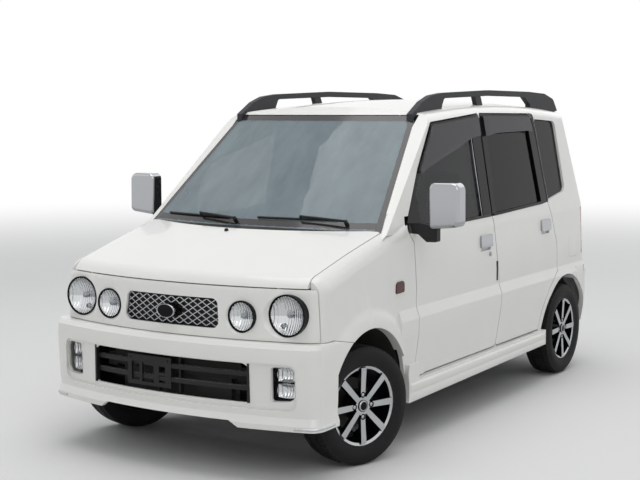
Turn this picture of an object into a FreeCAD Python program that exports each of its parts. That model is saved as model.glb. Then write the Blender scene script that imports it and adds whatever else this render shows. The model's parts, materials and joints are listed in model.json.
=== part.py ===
import FreeCAD
import Part
import math
import os

# A small four-door city car, all sizes in millimetres.
# While the shapes are made, y = 0 is the front axle, +y is rearward, +x is the car's left side
# and z = 0 is the road.  save() moves every piece so that y = 0 is the middle of the length.

# driving dimensions
wheelbase = 2360
front_overhang = 575
rear_overhang = 460
tail_y = wheelbase + rear_overhang
length_shift = -(tail_y - front_overhang) / 2

panel_half = 714
bulge_half = 733
crease_z = 652
belt_bend_z = 920
side_lean = 0.1763
belt_radius = 1053
sill_z = 305
roof_top_z = 1640
roof_apex_y = 1700
roof_long_radius = 10000
roof_drop_at_900 = 98
roof_side_radius = 75

screen_base_y = 87.3
screen_base_z = 1032
screen_rake = 1.204
screen_radius = 1900

tail_radius = 3000
tail_levels = [
    # z, y of the tail, half width, corner radius
    (200, 2790, 745, 85),
    (640, 2790, 745, 85),
    (662, 2790, 717, 85),
    (1000, 2790, 703, 85),
    (1660, 2632, 585, 75),
]

nose_radius = 2200
nose_pivot_y = nose_radius - 530
nose_side_radius = 80

wheel_z = 268.5
tyre_radius = 268.5
tyre_width = 165
rim_radius = 187
wheel_x = 645
kingpin_x = 605
steer_rest = 18
arch_z = 270
front_arch_radius = 345
rear_arch_radius = 330
flare_radius = 445
bumper_arch_y = -290

door_thickness = 44
ring_thickness = 80
skin_thickness = 25
roof_thickness = 32
gap = 7.5
seat_gap = 0.3
frame_lap = 42
film_depth = 1
plate_bolt_spacing = 210
plate_bolt_radius = 3.5

# door hinge axes, seen from above
front_hinge = (737.5, 440)

V = FreeCAD.Vector
X = V(1, 0, 0)
Y = V(0, 1, 0)
Z = V(0, 0, 1)


# helpers
def outline(points, plane, level):
    """Closed wire of lines, with an arc at each corner that has a radius (u, v, radius)."""
    to_space = {
        "side": lambda u, v: V(level, u, v),
        "front": lambda u, v: V(u, level, v),
        "plan": lambda u, v: V(u, v, level),
    }[plane]
    count = len(points)
    starts, middles, ends = [], [], []
    for i in range(count):
        here = V(points[i][0], points[i][1], 0)
        radius = points[i][2] if len(points[i]) > 2 else 0
        if radius <= 0:
            starts.append(here)
            middles.append(None)
            ends.append(here)
            continue
        before = V(points[i - 1][0], points[i - 1][1], 0) - here
        after = V(points[(i + 1) % count][0], points[(i + 1) % count][1], 0) - here
        before.normalize()
        after.normalize()
        half_angle = before.getAngle(after) / 2
        tangent = radius / math.tan(half_angle)
        bisector = before + after
        bisector.normalize()
        centre = here + bisector * (radius / math.sin(half_angle))
        starts.append(here + before * tangent)
        middles.append(centre - bisector * radius)
        ends.append(here + after * tangent)
    edges = []
    for i in range(count):
        following = (i + 1) % count
        if middles[i] is not None:
            corner = [to_space(p.x, p.y) for p in (starts[i], middles[i], ends[i])]
            edges.append(Part.Arc(*corner).toShape())
        if (starts[following] - ends[i]).Length > 1e-6:
            a = to_space(ends[i].x, ends[i].y)
            b = to_space(starts[following].x, starts[following].y)
            edges.append(Part.LineSegment(a, b).toShape())
    return Part.Wire(edges)


def prism(points, plane, start, end):
    """Solid of an outline drawn in a plane and pulled from start to end across it."""
    across = {"side": X, "front": Y, "plan": Z}[plane]
    return Part.Face(outline(points, plane, start)).extrude(across * (end - start))


def grown_prism(points, plane, start, end, growth):
    """The same prism with its outline moved outward by growth (inward when negative)."""
    across = {"side": X, "front": Y, "plan": Z}[plane]
    face = Part.Face(outline(points, plane, start)).makeOffset2D(growth)
    return face.extrude(across * (end - start))


def box(x0, x1, y0, y1, z0, z1):
    return Part.makeBox(x1 - x0, y1 - y0, z1 - z0, V(x0, y0, z0))


def rod(start, end, radius):
    axis = V(*end) - V(*start)
    return Part.makeCylinder(radius, axis.Length, V(*start), axis)


def line(a, b):
    return Part.LineSegment(V(*a), V(*b)).toShape()


def arc(a, b, c):
    return Part.Arc(V(*a), V(*b), V(*c)).toShape()


def mirrored(shape):
    return shape.mirror(V(0, 0, 0), X)


def both(shape):
    """A piece on the left side and its twin on the right, as solids of one node."""
    return join([shape, mirrored(shape)])


def join(shapes):
    solids = []
    for shape in shapes:
        solids += shape.Solids
    return Part.makeCompound(solids)


def fuse(shapes):
    return shapes[0].multiFuse(shapes[1:]).removeSplitter()


def largest(shape):
    return max(shape.Solids, key=lambda solid: solid.Volume)


def middle(edge):
    return edge.valueAt((edge.FirstParameter + edge.LastParameter) / 2)


def round_edges(shape, radius, chosen):
    return shape.makeFillet(radius, [e for e in shape.Edges if chosen(middle(e), e)])


def save(name, shape):
    moved = shape.copy()
    moved.translate(V(0, length_shift, 0))
    moved.exportStep("parts/" + name + ".step")


# the body as one block
def side_section(inset, floor_z):
    """Cross-section of sill, bulge under the crease, belt and leaning window side."""
    half = panel_half - inset
    top = 1720
    right = [
        (half - 10, floor_z, 0),
        (bulge_half - inset - 2, 520, 0),
        (bulge_half - inset, 600, 25),
        (half, crease_z, 8),
        (half, belt_bend_z, belt_radius),
        (half - (top - belt_bend_z) * side_lean, top, 0),
    ]
    left = [(-x, z, radius) for x, z, radius in reversed(right)]
    return right + left


def roof_block(inset):
    """Everything below the crowned roof."""
    top = roof_top_z - inset
    edge = top - roof_drop_at_900
    y = roof_apex_y
    wire = Part.Wire([
        line((900, y, 0), (900, y, edge)),
        arc((900, y, edge), (0, y, top), (-900, y, edge)),
        line((-900, y, edge), (-900, y, 0)),
        line((-900, y, 0), (900, y, 0)),
    ])
    face = Part.Face(wire)
    centre = V(0, y, roof_top_z - roof_long_radius)
    face.rotate(centre, X, -13)
    return face.revolve(centre, X, 26)


def screen_block(inset):
    """Everything behind the raked and bowed windscreen."""
    slant = math.sqrt(1 + screen_rake ** 2)
    front = screen_base_y + inset * slant
    reach = 900
    side = front + reach ** 2 / (2 * screen_radius)
    back = front + 4500
    z = screen_base_z
    wire = Part.Wire([
        arc((-reach, side, z), (0, front, z), (reach, side, z)),
        line((reach, side, z), (reach, back, z)),
        line((reach, back, z), (-reach, back, z)),
        line((-reach, back, z), (-reach, side, z)),
    ])
    face = Part.Face(wire)
    face.translate(V(0, -screen_rake * 850, -850))
    return face.extrude(V(0, screen_rake * 1550, 1550))


def bowed_wire(z, tip, half, bow, corner, back):
    """Plan outline with a bowed end at y = tip, rounded corners and straight sides."""
    sign = 1 if tip > back else -1
    bow_y = tip - sign * bow
    corner_x = half - corner
    rise = math.sqrt((bow - corner) ** 2 - corner_x ** 2)
    corner_y = bow_y + sign * rise
    ux = corner_x / (bow - corner)
    uy = sign * rise / (bow - corner)
    turn = math.atan2(uy, ux) / 2
    p = (ux * bow, bow_y + uy * bow, z)
    m = (corner_x + corner * math.cos(turn), corner_y + corner * math.sin(turn), z)
    q = (half, corner_y, z)
    pl, ml, ql = [(-a[0], a[1], z) for a in (p, m, q)]
    return Part.Wire([
        line((half, back, z), q),
        arc(q, m, p),
        arc(p, (0, tip, z), pl),
        arc(pl, ml, ql),
        line(ql, (-half, back, z)),
        line((-half, back, z), (half, back, z)),
    ])


def bowed_loft(levels, bow, inset, back):
    """Loft of bowed outlines; each level is (z, tip, half width, corner radius)."""
    wires = []
    for z, tip, half, corner in levels:
        moved = tip - inset if tip > back else tip + inset
        wires.append(bowed_wire(z, moved, half - inset, bow, corner - inset * 0.5, back))
    return Part.makeLoft(wires, True, True)


def nose_block(inset):
    """Bonnet and nose, bowed in plan, with rounded shoulders."""
    half = panel_half - inset
    floor_z = sill_z if inset == 0 else 100
    profile = [
        (-548 + inset, floor_z, 0),
        (-508 + inset, 868 - inset, 90),
        (-200, 960 - inset, 0),
        (140, 1052 - inset, 0),
        (330, 1100 - inset, 0),
        (330, floor_z, 0),
    ]
    face = Part.Face(outline(profile, "side", 0))
    centre = V(0, nose_pivot_y, 0)
    face.rotate(centre, Z, -35)
    block = face.revolve(centre, Z, 70)
    block = block.common(box(-half, half, -1500, 1500, 0, 2000))
    on_side = lambda m, e: abs(abs(m.x) - half) < 0.5 and e.Curve.TypeId != "Part::GeomLine"
    return round_edges(block, nose_side_radius - inset * 0.5, on_side)


def body_block(inset):
    """The whole painted body as one solid, moved inward by inset."""
    floor_z = sill_z if inset == 0 else 100
    block = prism(side_section(inset, floor_z), "front", 280, tail_y + 200)
    block = block.common(roof_block(inset))
    along = lambda m, e: abs(m.x) > 400 and m.z > 1450 and abs(e.Length) > 1500
    block = round_edges(block, roof_side_radius - inset * 0.5, along)
    block = block.common(bowed_loft(tail_levels, tail_radius, inset, -2500))
    block = block.common(screen_block(inset))
    return block.fuse(nose_block(inset))


def side_core(inset):
    """All that lies between the two side faces moved inward by inset."""
    return prism(side_section(inset, 100), "front", 200, tail_y + 200)


def tail_core(inset):
    """All that lies ahead of the tail face moved forward by inset."""
    return bowed_loft(tail_levels, tail_radius, inset, -2500)


outer = body_block(0)
under_skin = body_block(skin_thickness)
under_roof = body_block(roof_thickness)
under_ring = body_block(ring_thickness)

# outlines seen from the side
front_door_outline = [
    (443, 318, 25), (462, 730, 0), (433, 960, 0), (377, 1018, 20), (590, 1296, 60),
    (795, 1514, 45), (1358, 1556, 12), (1348, 1010, 0), (1408, 670, 0), (1382, 318, 25),
]
rear_door_outline = [
    (1389.5, 318, 25), (1415.5, 670, 0), (1359, 1010, 0), (1380, 1557, 12), (2062, 1552, 40),
    (2094, 1455, 0), (2132, 1048, 60), (2240, 790, 60), (2245, 560, 0), (2245, 318, 0),
]
front_window_outline = [
    (535, 1014, 12), (535, 1187, 20), (609, 1283, 60), (812, 1491, 40), (1252, 1525, 12),
    (1245, 1021, 12),
]
rear_window_outline = [
    (1412, 1027, 12), (1430, 1532, 12), (2008, 1528, 25), (2046, 1045, 15),
]
quarter_window_outline = [
    (2152, 1056, 15), (2112, 1526, 15), (2424, 1511, 40), (2431, 1098, 40),
]
# black film on the window frames and on the pillars between the windows
door_film_outline = [(300, 1003, 0), (1380, 1018, 0), (2035, 1038, 0), (2200, 1050, 0),
                     (2200, 1700, 0), (300, 1700, 0)]
pillar_film_outline = [(2080, 1046, 0), (2152, 1052, 0), (2112, 1526, 0), (2100, 1560, 0),
                       (2030, 1560, 0)]
front_visor_outline = [(560, 1264, 10), (696, 1305, 0), (980, 1371, 0), (1215, 1433, 0),
                       (1335, 1446, 8), (1338, 1547, 0), (800, 1507, 40), (592, 1290, 40)]
rear_visor_outline = [(1400, 1440, 8), (1541, 1455, 0), (1969, 1461, 0), (2036, 1452, 8),
                      (2030, 1542, 20), (1398, 1549, 0)]
visor_band = 8
visor_reach = 13
visor_thickness = 3
fender_outline = [
    (435.5, 200, 0), (454.5, 730, 0), (425.5, 957, 0), (367, 1016, 0), (362, 1040, 0),
    (299, 1062, 0), (255, 1078, 0), (255, 1400, 0), (-385, 1400, 0), (-385, 606, 0),
    (-300, 606, 0), (-156, 578, 0), (-156, 200, 0),
]

front_arch = rod((-900, 0, arch_z), (900, 0, arch_z), front_arch_radius)
rear_arch = rod((-900, wheelbase, arch_z), (900, wheelbase, arch_z), rear_arch_radius)
door_arch = rod((-900, wheelbase, arch_z), (900, wheelbase, arch_z), rear_arch_radius + 55)
recess_arch = rod((-900, wheelbase, arch_z), (900, wheelbase, arch_z), rear_arch_radius + 55 - gap)
inner_arch = rod((-900, wheelbase, arch_z), (900, wheelbase, arch_z), rear_arch_radius + 85)

# front view outlines
screen_outline = [(-671, 1004, 0), (671, 1004, 0), (531, 1552, 62), (-531, 1552, 62)]
screen_border = 26
tailgate_outline = [(-598, 642, 30), (598, 642, 30), (604, 1000, 0), (527, 1556, 40),
                    (-527, 1556, 40), (-604, 1000, 0)]
rear_window_front_view = [(-520, 1060, 40), (520, 1060, 40), (455, 1500, 40), (-455, 1500, 40)]
roof_half = 545
roof_front_z = 1556
bonnet_front_half = 648
bonnet_rear_half = 664
bonnet_lip_z = 835
bonnet_front_y = -408
bonnet_rear_y = 203
bonnet_back_radius = 1389
bonnet_back_y = 35
shut_y = -385
bumper_joint_z = 606


# body panels
def door(points, window, arches, side_start, side_end):
    """Hollowed panel with its window, film and handle pocket."""
    shell = outer.common(prism(points, "side", side_start, side_end))
    shell = shell.cut(side_core(door_thickness))
    for shape in arches:
        shell = shell.cut(shape)
    shell = shell.cut(prism(window, "side", side_start, side_end))
    film = prism(door_film_outline, "side", side_start, side_end)
    return shell.cut(film.cut(side_core(film_depth)))


def handle_pocket(y0, y1, z0, side_start, side_end):
    """Finger room behind a door handle."""
    points = [(y0 + 9, z0 - 18, 12), (y1 - 9, z0 - 18, 12), (y1 - 9, z0 + 50, 6), (y0 + 9, z0 + 50, 6)]
    return prism(points, "side", side_start, side_end).cut(side_core(pocket_depth))


def handle(row, side_start, side_end):
    """Pull flap that lies on the door over its pocket."""
    name, y0, y1, z0 = row
    points = [(y0, z0, 10), (y1, z0, 10), (y1, z0 + 65, 12), (y0, z0 + 65, 12)]
    flap = prism(points, "side", side_start, side_end)
    return flap.common(side_core(-handle_stand)).cut(outer)


pocket_depth = 16
handle_stand = 7
handle_rows = [
    # name, front end, rear end, lower edge
    ("front", 1175, 1318, 863),
    ("rear", 2000, 2137, 884),
]
sail_corner = box(300, 900, 300, front_hinge[1], 940, 1080)
corner_reach = rod((front_hinge[0], front_hinge[1], 930), (front_hinge[0], front_hinge[1], 1090), 73)
doors = {}
for tag, start, end in (("left", 300, 900), ("right", -300, -900)):
    corner = sail_corner.cut(corner_reach)
    if tag == "right":
        corner = mirrored(corner)
    front_y = handle_rows[0][1:]
    rear_y = handle_rows[1][1:]
    front = door(front_door_outline, front_window_outline, [corner], start, end)
    rear = door(rear_door_outline, rear_window_outline, [door_arch], start, end)
    doors["front_door_" + tag] = front.cut(handle_pocket(*front_y, start, end))
    doors["rear_door_" + tag] = rear.cut(handle_pocket(*rear_y, start, end))
    doors["front_handle_" + tag] = handle(handle_rows[0], start, end)
    doors["rear_handle_" + tag] = handle(handle_rows[1], start, end)


glass_inset = 14
glass_thickness = 4
screen_thickness = 6
side_glass_sheet = side_core(glass_inset).cut(side_core(glass_inset + glass_thickness))


def pane(window):
    """Glass that fills a side window, a little under the painted surface."""
    return side_glass_sheet.common(prism(window, "side", 300, 900))


def visor(points):
    """Rain visor that stands off the window and meets the frame along its top edge."""
    whole = prism(points, "side", 300, 900)
    sheet = side_core(-visor_reach).cut(side_core(visor_thickness - visor_reach)).common(whole)
    top = whole.cut(prism([(y, z - visor_band, r) for y, z, r in points], "side", 300, 900))
    web = side_core(-visor_reach).cut(side_core(0)).common(top)
    return largest(sheet.fuse(web))


front_glass_left = join([pane(front_window_outline), visor(front_visor_outline)])
rear_glass_left = join([pane(rear_window_outline), visor(rear_visor_outline)])
quarter_glass = pane(quarter_window_outline)

# bonnet, seen from above
bonnet_back_side_y = bonnet_back_y + 700 ** 2 / (2 * bonnet_back_radius)
spread = (bonnet_rear_half - bonnet_front_half) / (bonnet_rear_y - bonnet_front_y)
bonnet_wide_front = bonnet_front_half - spread * 292
bonnet_wide_back = bonnet_rear_half + spread * 97


def bonnet_plan(shrink, z0, z1):
    a = bonnet_wide_front - shrink
    b = bonnet_wide_back - shrink
    y = 300
    wire = Part.Wire([
        line((a, -700, z0), (b, y, z0)),
        line((b, y, z0), (-b, y, z0)),
        line((-b, y, z0), (-a, -700, z0)),
        line((-a, -700, z0), (a, -700, z0)),
    ])
    wedge = Part.Face(wire).extrude(Z * (z1 - z0))
    behind = rod((0, bonnet_back_y - shrink + bonnet_back_radius, z0),
                 (0, bonnet_back_y - shrink + bonnet_back_radius, z1), bonnet_back_radius)
    behind = behind.fuse(box(-900, 900, 400, 900, z0, z1))
    return wedge.cut(behind)


skin = outer.cut(under_skin)
bonnet = skin.common(bonnet_plan(0, bonnet_lip_z, 1400)).cut(screen_block(-2))

fender_zone = prism(fender_outline, "side", 400, 900)
front_fender = skin.common(fender_zone).cut(bonnet_plan(-5, 780, 1400)).cut(front_arch)
front_fender = front_fender.cut(box(-700, 655, 36, 500, 950, 1400).common(
    prism(screen_outline, "front", -500, 900)))
flare = Part.makeCone(flare_radius, front_arch_radius + 40, 21,
                      V(panel_half - 2, 0, arch_z), X)
flare = flare.cut(front_arch).cut(box(0, 900, -600, 600, 0, 160))
flare = flare.common(prism(fender_outline, "side", 600, 900)).cut(box(0, 900, 300, 900, 0, 900))
front_fender = largest(front_fender.fuse(flare))

bonnet_stop_x = 520
bonnet_stop_y = -428
nose_zone = box(-900, 900, -700, shut_y - 5, bumper_joint_z + 3, bonnet_lip_z - 5)
nose_panel = skin.common(nose_zone)
for x in (-bonnet_stop_x, bonnet_stop_x):
    stop = rod((x, bonnet_stop_y, 815), (x, bonnet_stop_y, bonnet_lip_z - seat_gap), 8)
    nose_panel = nose_panel.fuse(stop)

lamps = [
    # x, y of the lamp face, z, radius of the glass, radius of the bezel, depth
    (573, -446, 720, 84, 91, 55),
    (368, -488, 706, 62, 69, 50),
]
lens_bulge = 10
lens_thickness = 3
funnel_slope = 0.8
funnel_length = 90
reflector_back = 28
nose_grille_outline = [(-262, 647, 30), (262, 647, 30), (250, 776, 30), (-250, 776, 30)]
for x, y, z, radius, bezel, depth in lamps:
    for side in (1, -1):
        wide = bezel + funnel_slope * funnel_length
        funnel = Part.makeCone(wide, bezel, funnel_length, V(side * x, y - funnel_length, z), Y)
        hole = rod((side * x, y - 5, z), (side * x, y + depth, z), bezel)
        nose_panel = nose_panel.cut(funnel).cut(hole)
nose_panel = nose_panel.cut(prism(nose_grille_outline, "front", -700, -300))


def lamp_bowl(x, y, z, radius, bezel, depth, side):
    """Bezel ring and reflector bowl in one piece, open to the front."""
    body = rod((side * x, y - 4, z), (side * x, y + depth, z), bezel)
    seat = rod((side * x, y - 5, z), (side * x, y, z), radius)
    cup = Part.makeCone(radius - 2, reflector_back, depth - 8, V(side * x, y - 1, z), Y)
    return body.cut(seat).cut(cup)


def lamp_lens(x, y, z, radius, bezel, depth, side):
    """Domed glass that sits inside the bezel."""
    dome_radius = (radius ** 2 + lens_bulge ** 2) / (2 * lens_bulge)
    centre = V(side * x, y - lens_bulge - lens_thickness + dome_radius, z)
    dome = Part.makeSphere(dome_radius, centre).cut(
        Part.makeSphere(dome_radius - lens_thickness, centre))
    return dome.common(rod((side * x, y - 60, z), (side * x, y, z), radius))


lamp_bowls = join([lamp_bowl(*row, side) for row in lamps for side in (1, -1)])
headlamps = join([lamp_lens(*row, side) for row in lamps for side in (1, -1)])

# chrome mesh, its rim and a plain oval, over a black backing
mesh_pitch = 47
mesh_slope = 0.62
mesh_bar = 4
rim_width = 5
oval_half_width = 50
oval_half_height = 31
grille_opening = prism(nose_grille_outline, "front", -700, -300)
grille_rim = grille_opening.cut(grown_prism(nose_grille_outline, "front", -700, -300, -rim_width))
bars = []
for k in range(-9, 10):
    for direction in (1, -1):
        x = k * mesh_pitch
        run = 140 / mesh_slope
        points = [(x - direction * run / 2, 642), (x - direction * run / 2 + mesh_bar * 1.9, 642),
                  (x + direction * run / 2 + mesh_bar * 1.9, 782), (x + direction * run / 2, 782)]
        bars.append(prism(points, "front", -700, -300))
mesh_layer = nose_block(7).cut(nose_block(12))
nose_grille = fuse([grille_rim] + bars).common(grille_opening).common(mesh_layer)
oval = Part.Ellipse(V(0, 0, 0), oval_half_width, oval_half_height)
oval_face = Part.Face(Part.Wire(oval.toShape()))
oval_face.rotate(V(0, 0, 0), X, 90)
oval_face.translate(V(0, -532, 709))
oval_plate = oval_face.extrude(V(0, 16, 0))
nose_grille = largest(fuse([nose_grille, oval_plate]))
grille_backing = nose_block(19).cut(nose_block(23)).common(grille_opening)

marker_outline = [(248, 737, 8), (326, 740, 8), (326, 794, 22), (250, 790, 22)]
side_markers = prism(marker_outline, "side", 600, 900).common(side_core(-6)).cut(outer)

roof_zone = box(-roof_half, roof_half, 500, tail_y, roof_front_z, 1700)
roof_panel = outer.cut(under_roof).common(roof_zone)

screen = screen_block(0).cut(screen_block(screen_thickness))
screen = screen.common(prism(screen_outline, "front", -100, 1000)).common(roof_block(0))
screen = screen.cut(front_fender).cut(mirrored(front_fender))
screen_middle = grown_prism(screen_outline, "front", -200, 1100, -screen_border)
screen = screen.cut(screen_block(-1).cut(screen_block(film_depth)).cut(screen_middle))

tailgate = outer.common(prism(tailgate_outline, "front", 2300, 3000))
tailgate = tailgate.cut(tail_core(door_thickness))
tailgate = tailgate.cut(prism(rear_window_front_view, "front", 2300, 3000))
tail_glass_sheet = tail_core(glass_inset).cut(tail_core(glass_inset + glass_thickness))
tailgate_glass = tail_glass_sheet.common(prism(rear_window_front_view, "front", 2300, 3000))
plate_recess_outline = [(-190, 700, 15), (190, 700, 15), (190, 872, 15), (-190, 872, 15)]
garnish_outline = [(-235, 880, 10), (235, 880, 10), (215, 925, 10), (-215, 925, 10)]
tailgate = tailgate.cut(prism(plate_recess_outline, "front", 2300, 3000).cut(tail_core(16)))
garnish = prism(garnish_outline, "front", 2600, 3000).common(tail_core(-18)).cut(tail_core(1))
tailgate = tailgate.fuse(garnish)
for side in (1, -1):
    x = side * plate_bolt_spacing / 2
    tailgate = tailgate.cut(rod((x, 2700, 850), (x, 2900, 850), plate_bolt_radius))


def door_stop(y, z):
    """Rubber stop on the rebate, on which a shut door lies."""
    pad = rod((300, y, z), (900, y, z), door_stop_radius)
    return pad.common(side_core(door_thickness + seat_gap)).cut(side_core(door_thickness + gap + 6))


def tail_stop(z0):
    """Bracket on the quarter panel, on which the shut tailgate lies."""
    pad = box(575, 645, 2600, 2790, z0, z0 + 35)
    return pad.common(tail_core(door_thickness + seat_gap)).cut(tail_core(door_thickness + 26))


door_stop_radius = 12
door_stops = [
    # y, z
    (1366, 800),
    (1350, 345),
    (2172, 900),
    (1900, 345),
]
tail_stops = (658, 1015)

def behind_glass(x, z, lift):
    """Point at a height on the tailgate glass, lifted rearward off it."""
    low, high = tail_levels[3], tail_levels[4]
    share = (z - low[0]) / (high[0] - low[0])
    y = low[1] + (high[1] - low[1]) * share - x ** 2 / (2 * tail_radius)
    return V(x, y - glass_inset + lift, z)


rear_wiper = fuse([
    rod(behind_glass(0, 1080, -3), behind_glass(0, 1080, 30), 18),
    rod(behind_glass(0, 1080, 22), behind_glass(190, 1110, 22), 7),
    rod(behind_glass(190, 1110, 22), behind_glass(190, 1110, 8), 6),
    rod(behind_glass(20, 1120, 8), behind_glass(190, 1110, 8), 5),
    rod(behind_glass(190, 1110, 8), behind_glass(360, 1100, 8), 5),
]).cut(tailgate_glass)
rear_wiper = largest(rear_wiper)

# side ring: pillars, sills, roof sides and quarters, with rebates for the doors
ring = outer.cut(under_ring).common(box(300, 900, 200, tail_y, 200, 1800))
ring = ring.cut(prism(fender_outline, "side", 300, 900)).cut(box(-900, 900, -800, 240, 0, 2000))
ring = ring.cut(grown_prism(screen_outline, "front", -200, 1000, 0.0))
ring = ring.cut(box(-roof_half, roof_half, 300, tail_y, 1400, 1700))
ring = ring.cut(grown_prism(tailgate_outline, "front", 2300, 3000, gap))
ring = ring.cut(rear_arch)
under_rebate = side_core(door_thickness + gap)
for points, arch in ((front_door_outline, None), (rear_door_outline, recess_arch)):
    hollow = grown_prism(points, "side", 300, 900, gap)
    through = grown_prism(points, "side", 300, 900, -frame_lap)
    if arch:
        hollow = hollow.cut(arch)
        through = through.cut(inner_arch)
    ring = ring.cut(hollow.cut(under_rebate)).cut(through)
ring = fuse([ring] + [door_stop(y, z) for y, z in door_stops])
ring = ring.cut(prism(quarter_window_outline, "side", 300, 900))
ring = ring.cut(rod((front_hinge[0], front_hinge[1], 935), (front_hinge[0], front_hinge[1], 1085), 79)
                .common(box(300, 697, 300, 445, 900, 1100)))

# bumpers
front_bumper_levels = [
    # z, y of the tip, half width, corner radius
    (238, -572, 738, 62),
    (262, -575, 738, 62),
    (294, -562, 727, 60),
    (345, -568, 730, 62),
    (540, -575, 733, 62),
    (585, -571, 731, 60),
    (606, -555, 724, 52),
]
rear_bumper_levels = [
    (272, 2795, 722, 100),
    (460, 2820, 733, 100),
    (560, 2818, 733, 100),
    (626, 2797, 726, 90),
]
bumper_bow = 2500
wall = 25
shelf = 70
liner = 6
seam = 2


def bumper(levels, bow, back):
    shell = bowed_loft(levels, bow, 0, back)
    inner = bowed_loft([(levels[0][0] - 1,) + levels[0][1:]] + levels[1:-1]
                       + [(levels[-1][0] - wall,) + levels[-1][1:]], bow, wall, back)
    well = bowed_loft([(levels[0][0] - 1,) + levels[0][1:]] + levels[1:-1]
                      + [(levels[-1][0] + 1,) + levels[-1][1:]], bow, shelf, back)
    return shell.cut(inner).cut(well)


front_bumper = bumper(front_bumper_levels, bumper_bow, 100)
front_bumper = front_bumper.common(box(-900, 900, -700, -156, 0, 800))
front_bumper = front_bumper.cut(front_arch.common(box(-900, 900, bumper_arch_y, 900, 0, 900)))
front_bumper = front_bumper.cut(rod((-690, 0, arch_z), (690, 0, arch_z), front_arch_radius + liner + 1))
for side in (1, -1):
    front_bumper = front_bumper.cut(grown_prism(fender_outline, "side", side * 600, side * 900, seam))
intake_outline = [(-430, 345, 25), (430, 345, 25), (430, 515, 40), (-430, 515, 40)]
front_bumper = front_bumper.cut(prism(intake_outline, "front", -700, -300))
recess_outline = [(-647, 322, 45), (647, 322, 45), (640, 522, 35), (-640, 522, 35)]
recess_depth = 14
front_bumper = front_bumper.cut(prism(recess_outline, "front", -700, -300).cut(
    bowed_loft(front_bumper_levels, bumper_bow, recess_depth, 100)))
lip_gap_outline = [(-380, 200), (-380, 239), (-340, 266), (340, 266), (380, 239), (380, 200)]
front_bumper = front_bumper.cut(prism(lip_gap_outline, "front", -700, -300))
bumper_lamp_outline = [(530, 360, 12), (632, 366, 28), (630, 510, 28), (530, 506, 12)]
lamp_hole = prism(bumper_lamp_outline, "front", -700, -330)
front_bumper = front_bumper.cut(lamp_hole).cut(mirrored(lamp_hole))

bumper_grille = []
for z in (404, 465):
    bumper_grille.append(bowed_loft([(z - 9, -545, 700, 120), (z + 9, -545, 700, 120)],
                                    bumper_bow, 0, 100).cut(
        bowed_loft([(z - 10, -520, 675, 120), (z + 10, -520, 675, 120)],
                   bumper_bow, 0, 100)).common(box(-430, 430, -700, -300, 0, 800)))
for side in (-1, 1):
    for x in (60, 425):
        bumper_grille.append(box(side * x - 5, side * x + 5, -525, -505, 345, 515))
bracket = box(-217, 28, -546, -534, 365, 500)
bracket_windows = [
    # left, right, bottom, top
    (-195, -150, 385, 468),
    (-135, -70, 380, 468),
    (-40, -5, 430, 462),
    (-40, -5, 385, 416),
]
for x0, x1, z0, z1 in bracket_windows:
    bracket = bracket.cut(box(x0, x1, -600, -500, z0, z1))
front_plate_x = -94.5
for side in (1, -1):
    x = front_plate_x + side * plate_bolt_spacing / 2
    bracket = bracket.cut(rod((x, -560, 485), (x, -520, 485), plate_bolt_radius))
bumper_grille.append(bracket)
bumper_grille = fuse(bumper_grille).cut(front_bumper)

bumper_lamps = prism(bumper_lamp_outline, "front", -700, -300)
lamp_front = bowed_loft([(340, -571, 729, 58), (524, -571, 729, 58)], bumper_bow, 0, 100)
lamp_back = bowed_loft([(330, -533, 690, 50), (534, -533, 690, 50)], bumper_bow, 0, 100)
bumper_lamps = both(bumper_lamps.common(lamp_front.cut(lamp_back)))

rear_bumper = bumper(rear_bumper_levels, tail_radius, 1500)
rear_bumper = rear_bumper.common(box(-900, 900, 2529, 3000, 0, 900)).cut(rear_arch)
ring = ring.cut(bowed_loft(rear_bumper_levels, tail_radius, -4, 1500).common(
    box(-900, 900, 2525, 3000, 200, 628)))

tail_lamp_outline = [(612, 700, 12), (760, 700, 0), (760, 985, 0), (612, 985, 12)]
tail_lamp_zone = prism(tail_lamp_outline, "front", 2640, 3000)
tail_lamps = outer.cut(under_ring).common(tail_lamp_zone)
for z in (790, 880):
    tail_lamps = tail_lamps.cut(box(600, 800, 2600, 3000, z - 1.5, z + 1.5).cut(tail_core(4)))
ring = ring.cut(tail_lamp_zone)
ring = largest(ring)
film = prism(pillar_film_outline, "side", 300, 900)
ring = ring.cut(film.cut(side_core(film_depth)))
fuel_lid_outline = [(2432, 694, 18), (2570, 690, 18), (2570, 858, 18), (2430, 861, 18)]
lid_line = prism(fuel_lid_outline, "side", 300, 900).cut(
    grown_prism(fuel_lid_outline, "side", 300, 900, -3))
ring_left = fuse([ring.cut(lid_line.cut(side_core(4)))] + [tail_stop(z) for z in tail_stops])
body_sides = join([ring_left, mirrored(ring)])

# under the skin
inside = body_block(skin_thickness + 3)
radiator_front = -470
front_house_x = 405
rear_house_x = 470
floor_bits = [
    box(-632, 632, 300, 1710, 235, 255),
    box(-632, 632, 300, 325, 235, 960),
    box(-600, 600, 1690, 1710, 235, 410),
    box(-600, 600, 1690, 2120, 390, 410),
    box(-600, 600, 2100, 2120, 390, 500),
    box(-600, 600, 2100, 2700, 480, 500),
    box(-555, 555, 2652, 2667, 370, 625),
    box(-400, -340, -480, 300, 420, 480),
    box(340, 400, -480, 300, 420, 480),
    box(-560, 560, -500, radiator_front, 430, 530),
    box(-345, -290, 2120, 2700, 420, 480),
    box(290, 345, 2120, 2700, 420, 480),
]
floor_pan = fuse(floor_bits)


def wheelhouse(y, radius, x0, x1, thickness):
    shell = rod((x0, y, arch_z), (x1, y, arch_z), radius + thickness)
    shell = shell.cut(rod((x0 + thickness, y, arch_z), (x1 + 1, y, arch_z), radius))
    return shell.cut(box(-900, 900, -1000, 4000, 0, arch_z + 60))


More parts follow.
